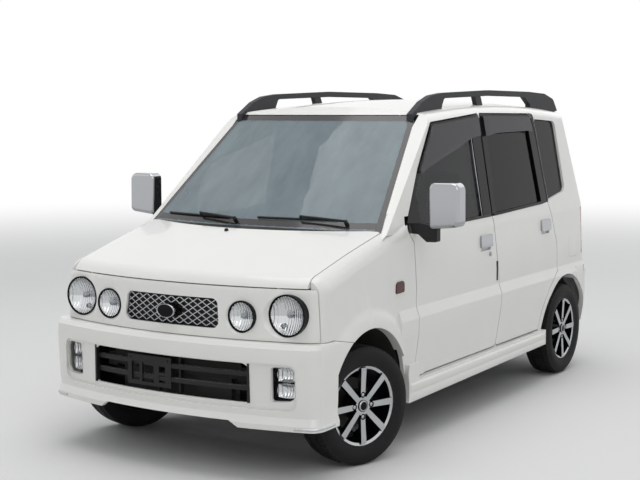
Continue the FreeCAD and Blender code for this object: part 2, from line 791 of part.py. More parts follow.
rear_house = wheelhouse(wheelbase, rear_arch_radius, rear_house_x, 632, liner)
front_house = wheelhouse(0, front_arch_radius, front_house_x, 688, liner)
houses = both(rear_house.common(inside)).fuse(both(front_house.common(inside)))
holes = both(join([rod((rear_house_x + 6, wheelbase, arch_z), (900, wheelbase, arch_z), rear_arch_radius),
                   rod((front_house_x + 6, 0, arch_z), (900, 0, arch_z), front_arch_radius)]))
floor_pan = floor_pan.cut(holes).common(inside).fuse(houses)
engine_block = box(-330, 250, -330, 60, 330, 760)
radiator = box(-300, 300, radiator_front, radiator_front + 30, 290, 590)
fuel_tank = box(-360, 60, 1730, 2080, 215, 390)

# rockers under the sills, posts and bar that carry the nose, engine mounts, bumper stays
rocker = box(620, 700, 450, 1990, 235, sill_z)
nose_post = box(445, 475, -440, -410, 440, 826).fuse(box(345, 475, -440, -410, 440, 480))
nose_bar = nose_block(skin_thickness).cut(nose_block(skin_thickness + 20))
nose_bar = nose_bar.common(box(-640, 640, -700, shut_y - 8, 814, 828))
engine_mounts = box(-345, 345, -190, -130, 435, 465)
front_stay = box(300, 340, -535, -480, 519, 530)
rear_stay = box(290, 345, 2690, 2785, 425, 475)
floor_pan = fuse([floor_pan, nose_bar, engine_mounts]
                 + [piece for half in (rocker, nose_post, front_stay, rear_stay)
                    for piece in (half, mirrored(half))])
floor_pan = floor_pan.cut(engine_block).cut(front_bumper).cut(rear_bumper)
floor_pan = floor_pan.cut(join([lamp_bowls, nose_panel]))
floor_pan = largest(floor_pan)
exhaust = fuse([
    rod((120, 60, 345), (120, 112, 345), 22),
    rod((120, 100, 345), (120, 250, 205), 22),
    rod((120, 240, 205), (120, 2425, 205), 22),
    rod((120, 2415, 205), (120, 2490, 320), 22),
    box(-250, 250, 2470, 2640, 290, 410),
    rod((200, 2630, 315), (200, 2750, 262), 20),
    rod((-200, 2555, 400), (-200, 2555, 480), 6),
    rod((200, 2555, 400), (200, 2555, 480), 6),
])

ball_z = 133.5
arm_z = 118
hub_face = 6
front_suspension = fuse([
    box(-380, 380, -60, 60, 215, 275),
    box(-400, -330, -60, 60, 215, 420),
    box(330, 400, -60, 60, 215, 420),
    rod((-kingpin_x, 0, arm_z), (-380, 0, 240), 13),
    rod((kingpin_x, 0, arm_z), (380, 0, 240), 13),
    rod((-kingpin_x, 0, arm_z - 6), (-kingpin_x, 0, ball_z - seat_gap), 24),
    rod((kingpin_x, 0, arm_z - 6), (kingpin_x, 0, ball_z - seat_gap), 24),
])
for x in (-kingpin_x, kingpin_x):
    front_suspension = front_suspension.cut(rod((x, 0, ball_z - seat_gap), (x, 0, 260), 34))
drums = [rod((side * 600, wheelbase, wheel_z), (side * 640, wheelbase, wheel_z), 100) for side in (1, -1)]
axle_end = wheel_x + hub_face - seat_gap
rear_axle = fuse([
    rod((-axle_end, wheelbase, wheel_z), (axle_end, wheelbase, wheel_z), 34),
    box(-440, -380, 1950, 2380, 250, 290),
    box(380, 440, 1950, 2380, 250, 290),
    box(-440, -380, 1950, 1990, 250, 390),
    box(380, 440, 1950, 1990, 250, 390),
    rod((-415, 2330, 280), (-415, 2330, 480), 45),
    rod((415, 2330, 280), (415, 2330, 480), 45),
] + drums)


# wheels
def tyre():
    half = tyre_width / 2
    section = [
        (rim_radius - 8, -half + 14, 0), (rim_radius + 30, -half, 15), (tyre_radius, -half + 8, 22),
        (tyre_radius, half - 8, 22), (rim_radius + 30, half, 15), (rim_radius - 8, half - 14, 0),
    ]
    face = Part.Face(outline([(x, z, r) for z, x, r in section], "front", 0))
    return face.revolve(V(0, 0, 0), X, 360)


spoke_count = 8
spoke_face = 30
spoke_thickness = 24
face_x = tyre_width / 2 - 12
nut_circle = 50
nut_radius = 9
nut_pocket = 14
cap_radius = 27


def rim():
    """Dished wheel; every second spoke stops at the pocket of a lug nut."""
    half = tyre_width / 2 - 14
    barrel = [
        (-half, rim_radius - 8), (-half, rim_radius - 20), (half - 6, rim_radius - 20),
        (half, rim_radius - 4), (half, rim_radius - 8),
    ]
    face = Part.Face(outline(barrel, "front", 0))
    shape = face.revolve(V(0, 0, 0), X, 360)
    hub = Part.makeCone(70, 42, face_x - 20, V(14, 0, 0), X)
    spokes = []
    for k in range(spoke_count):
        rim_half = spoke_face / 2
        hub_half = rim_half - 3
        points = [(-hub_half, 20), (hub_half, 20), (rim_half, rim_radius - 14), (-rim_half, rim_radius - 14)]
        spoke = prism(points, "side", face_x - spoke_thickness, face_x)
        spoke.rotate(V(0, 0, 0), X, k * 360 / spoke_count)
        spokes.append(spoke)
    wheel = fuse([shape, hub] + spokes)
    dish = Part.makeCone(36, rim_radius - 30, 7, V(face_x - 7, 0, 0), X)
    wheel = wheel.cut(dish)
    for k in range(4):
        turn = math.radians(90 * k)
        y = nut_circle * math.sin(turn)
        z = nut_circle * math.cos(turn)
        wheel = wheel.cut(rod((20, y, z), (face_x + 5, y, z), nut_pocket))
    plate = rod((hub_face, 0, 0), (26, 0, 0), 68)
    cap = rod((26, 0, 0), (face_x - 3, 0, 0), cap_radius)
    nuts = []
    for k in range(4):
        turn = math.radians(90 * k)
        y = nut_circle * math.sin(turn)
        z = nut_circle * math.cos(turn)
        nuts.append(rod((20, y, z), (face_x - 14, y, z), nut_radius))
    return fuse([wheel, plate, cap] + nuts)


def knuckle():
    disc = rod((-40, 0, 0), (-22, 0, 0), 115)
    hub = rod((-60, 0, 0), (hub_face, 0, 0), 34)
    ball = rod((kingpin_x - wheel_x, 0, ball_z - wheel_z), (kingpin_x - wheel_x, 0, -60), 15)
    upright = box(-75, -45, -30, 30, -70, 120)
    caliper = box(-62, -6, 60, 120, -40, 40)
    bracket = box(-128, -45, -30, 30, 90, 120)
    strut = rod((-115, 0, 95), (-125, 0, 330), 20)
    return fuse([disc, hub, ball, upright, caliper, bracket, strut])


def placed(shape, side, y, turn):
    moved = shape.copy()
    if side < 0:
        moved.rotate(V(0, 0, 0), Z, 180)
    moved.translate(V(side * wheel_x, y, wheel_z))
    if turn:
        moved.rotate(V(side * kingpin_x, y, wheel_z), Z, -turn)
    return moved


wheel_rows = [
    # name, side, y, steering angle at rest
    ("front_left", 1, 0, steer_rest),
    ("front_right", -1, 0, steer_rest),
    ("rear_left", 1, wheelbase, 0),
    ("rear_right", -1, wheelbase, 0),
]

# trim and cabin
skirt = prism([(310, 210, 0), (2030, 226, 0), (2030, 311, 0), (450, 308, 0), (434, 390, 0),
               (345, 390, 0)], "side", 700, 737.5).cut(front_arch).cut(rear_arch)
skirt = skirt.cut(outer).cut(front_fender)
rail_side_view = [
    (748, 1500, 0), (748, 1560, 0), (860, 1622, 60), (960, 1654, 120), (1090, 1668, 0),
    (1660, 1688, 0), (2220, 1685, 0), (2460, 1676, 120), (2600, 1644, 60), (2668, 1574, 0),
    (2600, 1562, 0), (2240, 1562, 0), (2240, 1610, 0), (2160, 1654, 25), (1660, 1657, 0),
    (1100, 1640, 25), (1072, 1590, 0), (1072, 1500, 0),
]
rail = prism(rail_side_view, "side", 499, 531)
post = prism([(1480, 1656), (1550, 1656), (1592, 1580), (1520, 1580)], "side", 502, 528)
rail = largest(rail.fuse(post).cut(outer))

mirror_arm_outline = [(690, 1052, 0), (690, 1006, 0), (745, 1003, 0), (790, 968, 6), (843, 970, 8),
                      (843, 1048, 0), (800, 1048, 0), (752, 1056, 0)]
mirror_arm = prism(mirror_arm_outline, "front", 408, 445).cut(outer)
mirror_outline = [(814, 1030, 22), (970, 1046, 28), (968, 1250, 38), (814, 1247, 30)]
mirror_head = prism(mirror_outline, "front", 374, 446)
mirror_head = round_edges(mirror_head, 16, lambda m, e: abs(m.y - 374) < 1)
mirror_glass_pocket = grown_prism(mirror_outline, "front", 443, 460, -12)
mirror_left = mirror_head.cut(mirror_glass_pocket).fuse(mirror_arm)

dashboard = prism([(335, 560, 0), (335, 1000, 0), (480, 1010, 60), (640, 930, 60), (660, 820, 60),
                   (560, 560, 30)], "side", -625, 625).common(body_block(ring_thickness + 6))
column_x = -350
wheel_centre = V(column_x, 790, 905)
column_lean = 22
column_line = V(0, math.cos(math.radians(column_lean)), math.sin(math.radians(column_lean)))
wheel_hub_half = 20
column = rod(wheel_centre - column_line * 220, wheel_centre - column_line * (wheel_hub_half + seat_gap), 25)
binnacle = prism([(470, 960, 0), (470, 1010, 0), (540, 1046, 25), (640, 1030, 12), (655, 930, 12)],
                 "side", column_x - 150, column_x + 150)
console = prism([(560, 255, 0), (560, 700, 0), (652, 700, 12), (668, 255, 0)], "side", -115, 115)
dashboard = fuse([dashboard, column, binnacle.common(body_block(ring_thickness + 6)), console])


def steering_wheel():
    ring_shape = Part.makeTorus(180, 14, V(0, 0, 0), Y)
    hub = rod((0, -wheel_hub_half, 0), (0, wheel_hub_half, 0), 55)
    spokes = [box(-170, 170, -6, 6, -15, 15), box(-15, 15, -6, 6, -170, 0)]
    shape = fuse([ring_shape, hub] + spokes)
    shape.rotate(V(0, 0, 0), X, column_lean)
    shape.translate(wheel_centre)
    return shape


def seat(x0, x1, y, cushion_z):
    cushion = prism([(y, cushion_z, 40), (y + 480, cushion_z - 20, 20), (y + 480, cushion_z + 110, 20),
                     (y, cushion_z + 140, 40)], "side", x0, x1)
    back = prism([(y + 420, cushion_z + 100, 20), (y + 530, cushion_z + 80, 20),
                  (y + 690, cushion_z + 660, 40), (y + 600, cushion_z + 680, 40)], "side", x0, x1)
    head = prism([(y + 625, cushion_z + 690, 20), (y + 700, cushion_z + 690, 20),
                  (y + 745, cushion_z + 840, 20), (y + 670, cushion_z + 850, 20)],
                 "side", (x0 + x1) / 2 - 125, (x0 + x1) / 2 + 125)
    post = prism([(y + 640, cushion_z + 640, 0), (y + 655, cushion_z + 640, 0),
                  (y + 670, cushion_z + 700, 0), (y + 655, cushion_z + 700, 0)],
                 "side", (x0 + x1) / 2 - 50, (x0 + x1) / 2 + 50)
    rails = box(x0 + 60, x1 - 60, y + 40, y + 440, 255, cushion_z + 5)
    return fuse([cushion, back, head, post, rails])


front_seats = join([seat(60, 560, 820, 400), seat(-560, -60, 820, 400)])
rear_bench_cushion = prism([(1720, 410, 30), (2098, 410, 0), (2098, 545, 20), (1720, 560, 40)],
                           "side", -455, 455)
rear_bench_back = prism([(2080, 500, 0), (2180, 500, 0), (2310, 1090, 35), (2230, 1100, 35)],
                        "side", -455, 455)
rear_bench = fuse([rear_bench_cushion, rear_bench_back])

cowl_panel = nose_block(6).cut(nose_block(skin_thickness)).common(box(-655, 655, -100, 400, 900, 1100))
cowl_panel = cowl_panel.cut(bonnet_plan(-6, 900, 1400)).cut(screen_block(0))
cowl_panel = cowl_panel.cut(front_fender).cut(mirrored(front_fender))


def above_screen(x, z, lift):
    """Point at a height on the windscreen, lifted off the glass."""
    slant = math.sqrt(1 + screen_rake ** 2)
    y = screen_base_y + screen_rake * (z - screen_base_z) + x ** 2 / (2 * screen_radius)
    return (x, y - lift / slant, z + lift * screen_rake / slant)


def wiper(pivot_x, pivot_z, tip_x, blade_z):
    """Arm, blade and pivot that lie along the foot of the glass."""
    foot = above_screen(pivot_x, pivot_z, -3)
    pivot = above_screen(pivot_x, pivot_z, 28)
    hold = above_screen((pivot_x + tip_x) / 2, blade_z, 24)
    low_hold = above_screen((pivot_x + tip_x) / 2, blade_z, blade_lift)
    pieces = [rod(foot, pivot, 10), rod(pivot, hold, 6), rod(hold, low_hold, 5)]
    steps = 5
    start_x = pivot_x + (tip_x - pivot_x) * 0.12
    for k in range(steps):
        a = start_x + (tip_x - start_x) * k / steps
        b = start_x + (tip_x - start_x) * (k + 1) / steps
        pieces.append(rod(above_screen(a, blade_z, blade_lift), above_screen(b, blade_z, blade_lift), 5))
    return largest(fuse(pieces).cut(screen))


blade_lift = 6.5
wipers = join([wiper(-80, 1046, -560, 1062), wiper(500, 1050, 30, 1068)])

# save every piece
os.makedirs("parts", exist_ok=True)
save("floor_pan", floor_pan)
save("body_sides", body_sides)
save("roof_panel", roof_panel)
save("roof_rails", both(rail))
save("front_fenders", both(front_fender))
save("side_markers", both(side_markers))
save("nose_panel", nose_panel)
save("nose_grille", nose_grille)
save("grille_backing", grille_backing)
save("headlamps", headlamps)
save("lamp_bowls", lamp_bowls)
save("front_bumper", front_bumper)
save("bumper_grille", bumper_grille)
save("bumper_lamps", bumper_lamps)
save("windshield", screen)
save("cowl_panel", cowl_panel)
save("wipers", wipers)
save("dashboard", dashboard)
save("front_seats", front_seats)
save("rear_bench", rear_bench)
save("rear_bumper", rear_bumper)
save("tail_lamps", both(tail_lamps))
save("quarter_glass", both(quarter_glass))
save("side_skirts", both(skirt))
save("engine_block", engine_block)
save("radiator", radiator)
save("front_suspension", front_suspension)
save("rear_axle", rear_axle)
save("fuel_tank", fuel_tank)
save("exhaust", exhaust)
save("hood", bonnet)
save("tailgate", tailgate)
save("tailgate_glass", tailgate_glass)
save("rear_wiper", rear_wiper)
for name, shape in doors.items():
    save(name, shape)
save("front_door_glass_left", front_glass_left)
save("front_door_glass_right", mirrored(front_glass_left))
save("rear_door_glass_left", rear_glass_left)
save("rear_door_glass_right", mirrored(rear_glass_left))
save("door_mirror_left", mirror_left)
save("door_mirror_right", mirrored(mirror_left))
save("steering_wheel", steering_wheel())
for name, side, y, turn in wheel_rows:
    save("tyre_" + name, placed(tyre(), side, y, turn))
    save("rim_" + name, placed(rim(), side, y, turn))
    if turn:
        save("knuckle_" + name, placed(knuckle(), side, y, turn))
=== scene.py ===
import json
import math

import bpy
from mathutils import Matrix, Vector


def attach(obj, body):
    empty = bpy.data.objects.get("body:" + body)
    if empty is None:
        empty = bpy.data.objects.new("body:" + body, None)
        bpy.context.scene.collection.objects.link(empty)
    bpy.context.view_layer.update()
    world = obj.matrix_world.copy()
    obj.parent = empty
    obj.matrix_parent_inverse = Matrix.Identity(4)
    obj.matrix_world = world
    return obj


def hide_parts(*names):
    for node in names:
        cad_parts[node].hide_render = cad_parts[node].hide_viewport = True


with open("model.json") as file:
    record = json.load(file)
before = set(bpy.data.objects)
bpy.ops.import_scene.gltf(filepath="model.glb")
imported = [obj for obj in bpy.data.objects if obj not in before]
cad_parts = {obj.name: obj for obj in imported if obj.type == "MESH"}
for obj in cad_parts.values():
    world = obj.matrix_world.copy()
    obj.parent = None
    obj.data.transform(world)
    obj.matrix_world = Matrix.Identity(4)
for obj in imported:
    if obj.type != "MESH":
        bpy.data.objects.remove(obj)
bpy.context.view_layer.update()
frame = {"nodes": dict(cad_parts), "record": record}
nodes = frame["nodes"]
scene = bpy.context.scene
print("frame loaded:", len(nodes), "nodes")

frontAxleY = -1.1225   # metres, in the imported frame
rearAxleY = 1.2375


def aft(y):
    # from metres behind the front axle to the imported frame
    return y + frontAxleY


cameraValues = {
    "place": (3.5096, -6.0180, 1.5875),
    "yaw": 31.9286,       # degrees to the left of straight ahead (+Y)
    "pitch": 5.8505,      # degrees downwards
    "roll": -0.0793,
    "lens": 72.09,
}


def addCamera(values):
    data = bpy.data.cameras.new("viewCamera")
    data.lens = values["lens"]
    data.sensor_width = 36.0
    data.clip_end = 200.0
    camera = bpy.data.objects.new("viewCamera", data)
    scene.collection.objects.link(camera)
    yaw, pitch, roll = (math.radians(values[k]) for k in ("yaw", "pitch", "roll"))
    back = Vector((math.sin(yaw) * math.cos(pitch), -math.cos(yaw) * math.cos(pitch), math.sin(pitch)))
    right = Vector((math.cos(yaw), math.sin(yaw), 0.0))
    up = back.cross(right)
    turnedRight = right * math.cos(roll) + up * math.sin(roll)
    turnedUp = up * math.cos(roll) - right * math.sin(roll)
    turn = Matrix((turnedRight, turnedUp, back)).transposed()
    camera.matrix_world = Matrix.Translation(values["place"]) @ turn.to_4x4()
    scene.camera = camera


addCamera(cameraValues)


def toLinear(hexColour):
    parts = [int(hexColour[i:i + 2], 16) / 255.0 for i in (1, 3, 5)]
    return [c / 12.92 if c <= 0.04045 else ((c + 0.055) / 1.055) ** 2.4 for c in parts] + [1.0]


def addNode(tree, kind, settings=None, values=None, links=None):
    # one node with its properties, its values and what feeds its sockets
    node = tree.nodes.new("ShaderNode" + kind)
    for name, value in (settings or {}).items():
        setattr(node, name, value)
    for name, value in (values or {}).items():
        node.inputs[name].default_value = value
    for name, source in (links or {}).items():
        tree.links.new(source, node.inputs[name])
    return node


def startMaterial(name, **values):
    material = bpy.data.materials.new(name)
    material.use_nodes = True
    tree = material.node_tree
    shader = tree.nodes["Principled BSDF"]
    for key, value in values.items():
        shader.inputs[key.replace("_", " ")].default_value = value
    coordinate = addNode(tree, "TexCoord")
    return material, tree, shader, coordinate.outputs["Object"]


def noiseOn(tree, place, size, detail=2.0, rough=0.5):
    # size is the width in metres of one blotch of the noise
    noise = addNode(tree, "TexNoise", links={"Vector": place},
                    values={"Scale": 1.0 / size, "Detail": detail, "Roughness": rough})
    return noise.outputs["Fac"]


def waveOn(tree, place, direction, width, distortion, detail=2.0):
    # bands of a width in metres; the texture's own unit holds 10 / pi of them
    wave = addNode(tree, "TexWave", settings={"wave_type": "BANDS", "bands_direction": direction},
                   values={"Scale": 0.1 * math.pi / width, "Distortion": distortion, "Detail": detail},
                   links={"Vector": place})
    return wave.outputs["Fac"]


def bumpFrom(tree, shader, height, depth, strength=1.0):
    bump = addNode(tree, "Bump", values={"Distance": depth, "Strength": strength},
                   links={"Height": height})
    tree.links.new(bump.outputs["Normal"], shader.inputs["Normal"])


def varied(tree, shader, socket, factor, low, high):
    span = addNode(tree, "MapRange", values={"To Min": low, "To Max": high}, links={"Value": factor})
    tree.links.new(span.outputs["Result"], shader.inputs[socket])


def mixedColour(tree, shader, factor, first, second):
    mix = addNode(tree, "Mix", settings={"data_type": "RGBA"},
                  values={6: toLinear(first), 7: toLinear(second)}, links={"Factor": factor})
    tree.links.new(mix.outputs[2], shader.inputs["Base Color"])


def reopen(material):
    tree = material.node_tree
    return tree, tree.nodes["Principled BSDF"], tree.nodes["Texture Coordinate"].outputs["Object"]


def mottled(name, dark, light, blotch, skin=None, **values):
    # colour that drifts over blotches of a width and a detail; the skin has the width, detail,
    # depth and strength of its bumps, which are cells where the detail is None
    material, tree, shader, place = startMaterial(name, **values)
    drift = noiseOn(tree, place, *blotch)
    mixedColour(tree, shader, drift, dark, light)
    if skin:
        width, detail, depth, strength = skin
        if detail is None:
            cells = addNode(tree, "TexVoronoi", values={"Scale": 1.0 / width}, links={"Vector": place})
            height = cells.outputs["Distance"]
        else:
            height = noiseOn(tree, place, width, detail)
        bumpFrom(tree, shader, height, depth, strength)
    return material


def grainedPlastic(name, dark, light, grain=0.0025, rough=0.55):
    # injection-moulded polypropylene with a leather-like grain
    return mottled(name, dark, light, (0.2, 3.0), (grain, None, 0.0001, 0.5), Roughness=rough, IOR=1.49,
                   Specular_IOR_Level=0.35)


def wovenCloth(name, dark, light):
    # flat-woven polyester seat cloth, threads drawn 2 mm wide so that they show
    return mottled(name, dark, light, (0.05, 3.0), (0.002, None, 0.0003, 0.6), Roughness=0.95,
                   Sheen_Weight=0.25)


def castMetal(name, dark, light, metal=0.7, rough=0.55):
    # sand-cast or rolled metal with a matt skin
    return mottled(name, dark, light, (0.05, 4.0), (0.002, 2.0, 0.0003, 1.0), Metallic=metal, Roughness=rough)


def brightMetal(name, colour, blotch, low, high):
    # bare bright metal whose roughness drifts between two values
    material, tree, shader, place = startMaterial(name, Metallic=1.0, Base_Color=toLinear(colour))
    haze = noiseOn(tree, place, *blotch)
    varied(tree, shader, "Roughness", haze, low, high)
    return material


def flutedMirror():
    # vapour-plated reflector: bright metal pressed into upright flutes about 13 mm wide
    material = brightMetal("vapourPlating", "#E4E6E8", (0.02, 2.0), 0.05, 0.12)
    tree, shader, place = reopen(material)
    flutes = waveOn(tree, place, "X", 0.013, 0.6, 1.0)
    bumpFrom(tree, shader, flutes, 0.0025, 0.8)
    return material


def turnedAlloy():
    # cast aluminium turned on a lathe and lacquered
    material = brightMetal("turnedAluminium", "#A9ABAD", (0.08, 3.0), 0.16, 0.30)
    tree, shader, place = reopen(material)
    sweep = noiseOn(tree, place, 0.08, 3.0)
    mixedColour(tree, shader, sweep, "#A9ABAD", "#C6C8CA")
    return material


def glassSheet(name, colour, clear, rough=0.02, gloss=0.5):
    # float glass or acrylic: what it lets through falls towards grazing angles, where it mirrors
    material, tree, shader, place = startMaterial(name, IOR=1.52, Specular_IOR_Level=gloss,
                                                  Base_Color=toLinear(colour))
    edge = addNode(tree, "LayerWeight", values={"Blend": 0.5})
    steep = addNode(tree, "Math", settings={"operation": "POWER"}, values={1: 5.0},
                    links={0: edge.outputs["Facing"]})
    varied(tree, shader, "Alpha", steep.outputs[0], 1.0 - clear, 1.0)
    film = noiseOn(tree, place, 0.25, 2.0)
    varied(tree, shader, "Roughness", film, rough, rough + 0.02)
    return material


def glassPaintedSkyReflection(name, low, high, clear):
    # laminated float glass with a pale blue-grey veil drifting over it: a painted reflection of the sky
    material = glassSheet(name, low, clear)
    tree, shader, place = reopen(material)
    veil = addNode(tree, "Mapping", values={"Scale": (2.2, 1.0, 0.7)}, links={"Vector": place})
    drift = noiseOn(tree, veil.outputs["Vector"], 0.22, 3.0, 0.6)
    mixedColour(tree, shader, drift, low, high)
    return material


treadBlocks = 64   # round one tyre


def tyreRubber():
    # carbon-black rubber, dusty; the blocks follow the tyre's own map and stay on its tread
    material = mottled("tyreRubber", "#101011", "#1A1A1A", (0.06, 4.0), Roughness=0.7, IOR=1.52,
                       Specular_IOR_Level=0.25)
    tree, shader, place = reopen(material)
    wrap = addNode(tree, "UVMap", settings={"uv_map": "wrap"}).outputs["UV"]
    blocks = waveOn(tree, wrap, "X", 1.0 / treadBlocks, 0.0)
    cut = addNode(tree, "MapRange", values={"From Min": 0.1, "From Max": 0.25},
                  links={"Value": blocks})
    split = addNode(tree, "SeparateXYZ", links={"Vector": wrap})
    aside = addNode(tree, "Math", settings={"operation": "SUBTRACT"}, values={1: 0.5},
                    links={0: split.outputs["Y"]})
    off = addNode(tree, "Math", settings={"operation": "ABSOLUTE"}, links={0: aside.outputs[0]})
    tread = addNode(tree, "MapRange", links={"Value": off.outputs[0]},
                    values={"From Min": 0.40, "From Max": 0.44, "To Min": 1.0, "To Max": 0.0})
    onTread = addNode(tree, "Math", settings={"operation": "MULTIPLY"},
                      links={0: cut.outputs["Result"], 1: tread.outputs["Result"]})
    bumpFrom(tree, shader, onTread.outputs[0], 0.004)
    return material


def colouredLens(name, dark, light, rough=0.08):
    # moulded acrylic lens, glossy, with the soft ribs of its inner face
    material, tree, shader, place = startMaterial(name, Roughness=rough, IOR=1.49, Coat_Weight=0.3,
                                                  Specular_IOR_Level=0.3)
    ribs = waveOn(tree, place, "Z", 0.008, 0.4)
    mixedColour(tree, shader, ribs, dark, light)
    bumpFrom(tree, shader, ribs, 0.0006, 0.5)
    return material


# two-coat baked enamel under clear lacquer: a warm white with a faint orange peel
enamel = mottled("whiteEnamel", "#E9E8E4", "#EFEEEA", (0.35, 3.0), (0.004, 1.0, 0.00004, 0.4), Roughness=0.35,
                 Coat_Weight=0.55, Coat_Roughness=0.05, IOR=1.5, Specular_IOR_Level=0.35)
# sprayed rubberised underseal: soft black with a pebbled skin and road dust
underseal = mottled("underseal", "#161616", "#2B2825", (0.12, 4.0), (0.006, 3.0, 0.0008, 1.0), Roughness=0.85)
# satin black vinyl film and stove lacquer: even, with a soft sheen
lacquer = mottled("blackLacquer", "#0B0B0C", "#121213", (0.15, 2.0), (0.003, 1.0, 0.00003, 0.4), Roughness=0.22,
                  IOR=1.5, Specular_IOR_Level=0.12)
# extruded EPDM rubber: dull black with a dusty bloom
seal = mottled("epdmRubber", "#131313", "#1F1F1E", (0.03, 3.0), (0.002, 2.0, 0.0001, 1.0), Roughness=0.7,
               IOR=1.52)
# black ceramic frit fired on to the glass edge, seen through the glass: painted dark warm grey for the
# reflection of the glass over the black, glossy
fritPaintedReflection = mottled("ceramicFritPaintedReflection", "#2E2B2C", "#3A3637", (0.12, 2.0), Roughness=0.12, IOR=1.52)
# chrome plate on moulded parts: mirror bright with a trace of haze
chrome = brightMetal("chromePlate", "#A9ABAE", (0.03, 3.0), 0.04, 0.10)
# silvered float glass of the rear-view mirrors: sharper than chrome
silvered = brightMetal("silveredGlass", "#A9B0B6", (0.05, 2.0), 0.01, 0.03)
blackPlastic = grainedPlastic("blackPolypropylene", "#141414", "#1C1C1C")
cabinPlastic = grainedPlastic("greyPolypropylene", "#6A6B6C", "#747576", 0.003, 0.6)
darkTrim = grainedPlastic("charcoalPolypropylene", "#2B2C2E", "#343537", 0.003, 0.6)
reflector = flutedMirror()
smoked = glassSheet("smokedAcrylic", "#454348", 0.30, 0.05, 0.25)
# painted highlight: light satin grey for the lit top faces of the intake bars
barHighlightGrey = castMetal("barHighlightZinc", "#8C8D8C", "#A3A4A3", 0.6, 0.4)
rubber = tyreRubber()
polished = turnedAlloy()
cloth = wovenCloth("seatCloth", "#4A4C52", "#5B5D64")
roofCloth = wovenCloth("headlining", "#A9A8A2", "#B5B4AE")
redLens = colouredLens("redAcrylic", "#7C0A0D", "#A81216")
whiteLens = colouredLens("frostedAcrylic", "#C9CBCC", "#E2E3E3", 0.15)

finishes = {
    "white_paint": enamel,
    "underbody": underseal,
    "black_plastic": blackPlastic,
    "trim_plastic": darkTrim,
    "bright_metal": chrome,
    "lamp_clear": glassSheet("clearAcrylic", "#4A4F52", 0.95),
    "lamp_red": redLens,
    "lamp_amber": colouredLens("brownAcrylic", "#3A0D06", "#52160B", 0.3),
    # windscreen: its light blue-grey veil is a painted reflection of the sky
    "clear_glass": glassPaintedSkyReflection("tintedGlassPaintedReflection", "#6C7C84", "#97A8AD", 0.38),
    "dark_glass": glassSheet("privacyGlass", "#040505", 0.14, 0.02, 0.12),
    "seat_fabric": cloth,
    "cast_block": castMetal("castIron", "#2E2D2C", "#474442"),
    "bare_alloy": castMetal("rolledAluminium", "#77797A", "#929394", 1.0, 0.45),
    "tyre": rubber,
    "wheel_alloy": lacquer,
}

for part in frame["record"]["subparts"]:
    obj = nodes[part["node"]]
    obj.data.materials.clear()
    obj.data.materials.append(finishes[part["material_slot"]])
print("materials set")


def startPiece():
    # only what comes next is worked on
    if bpy.context.mode != "OBJECT":
        bpy.ops.object.mode_set(mode="OBJECT")
    bpy.ops.object.select_all(action="DESELECT")


def workOn(piece):
    startPiece()
    piece.select_set(True)
    bpy.context.view_layer.objects.active = piece


def applyModifiers(piece):
    workOn(piece)
    for modifier in [m.name for m in piece.modifiers]:
        bpy.ops.object.modifier_apply(modifier=modifier)


def finishPiece(piece, name, body, slot, material=None, smooth=35):
    # the piece ends at the origin with its place in its mesh, as the CAD pieces do
    applyModifiers(piece)
    bpy.ops.object.transform_apply(location=True, rotation=True, scale=True)
    bpy.ops.object.shade_smooth_by_angle(angle=math.radians(smooth))
    piece.name = name
    piece.data.name = name
    piece.data.materials.clear()
    piece.data.materials.append(material or finishes[slot])
    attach(piece, body)


def mirrorCopy(piece):
    # the same piece on the other side of the car, with its own mesh
    twin = piece.copy()
    twin.data = piece.data.copy()
    scene.collection.objects.link(twin)
    for vertex in twin.data.vertices:
        vertex.co.x = -vertex.co.x
    twin.data.flip_normals()
    return twin


def finishPair(piece, name, body, slot, material=None, smooth=35):
    # a piece of the car's left side and its mirror image; {} in the body stands for the side
    for each, hand in ((mirrorCopy(piece), "right"), (piece, "left")):
        finishPiece(each, name + "_" + hand, body.format(hand), slot, material, smooth)


def addBevel(piece, width, segments=2):
    bevel = piece.modifiers.new("edge", "BEVEL")
    bevel.width = width
    bevel.segments = segments
    bevel.limit_method = "ANGLE"
    bevel.angle_limit = math.radians(30)


def openOutline(points, fill):
    # a circle whose points move to those of the outline, open for editing
    startPiece()
    bpy.ops.mesh.primitive_circle_add(vertices=len(points), fill_type=fill)
    piece = bpy.context.active_object
    for vertex, point in zip(piece.data.vertices, points):
        vertex.co = point
    bpy.ops.object.mode_set(mode="EDIT")
    bpy.ops.mesh.select_all(action="SELECT")
    return piece


def closeEdit():
    bpy.ops.mesh.select_all(action="SELECT")
    bpy.ops.mesh.normals_make_consistent(inside=False)
    bpy.ops.object.mode_set(mode="OBJECT")


def pullOutline(points, depth, bevel=0.001, segments=2):
    # a flat outline of corner points, extruded by depth and softened along its edges
    piece = openOutline(points, "NGON")
    bpy.ops.mesh.extrude_region_move(TRANSFORM_OT_translate={"value": depth})
    closeEdit()
    if bevel:
        addBevel(piece, bevel, segments)
    return piece


def spinProfile(profile, centre, axis, steps):
    # closed profile of (along the axis, radius) pairs, spun once round the axis
    axis = Vector(axis).normalized()
    centre = Vector(centre)
    aside = axis.orthogonal().normalized()
    piece = openOutline([centre + axis * along + aside * radius for along, radius in profile], "NOTHING")
    bpy.ops.mesh.spin(steps=steps, angle=2 * math.pi, center=centre, axis=axis)
    bpy.ops.mesh.select_all(action="SELECT")
    bpy.ops.mesh.remove_doubles(threshold=0.00002)
    bpy.ops.mesh.dissolve_degenerate(threshold=0.00001)
    closeEdit()
    return piece


def bendRod(points, radius, sides=10):
    # round bar along points, made from a curve
    curve = bpy.data.curves.new("bar", "CURVE")
    curve.dimensions = "3D"
    curve.bevel_depth = radius
    curve.bevel_resolution = max(1, sides // 4)
    curve.use_fill_caps = True
    spline = curve.splines.new("POLY")
    spline.points.add(len(points) - 1)
    for point, place in zip(spline.points, points):
        point.co = (*place, 1.0)
    bar = bpy.data.objects.new("bar", curve)
    scene.collection.objects.link(bar)
    workOn(bar)
    bpy.ops.object.convert(target="MESH")
    return bpy.context.active_object


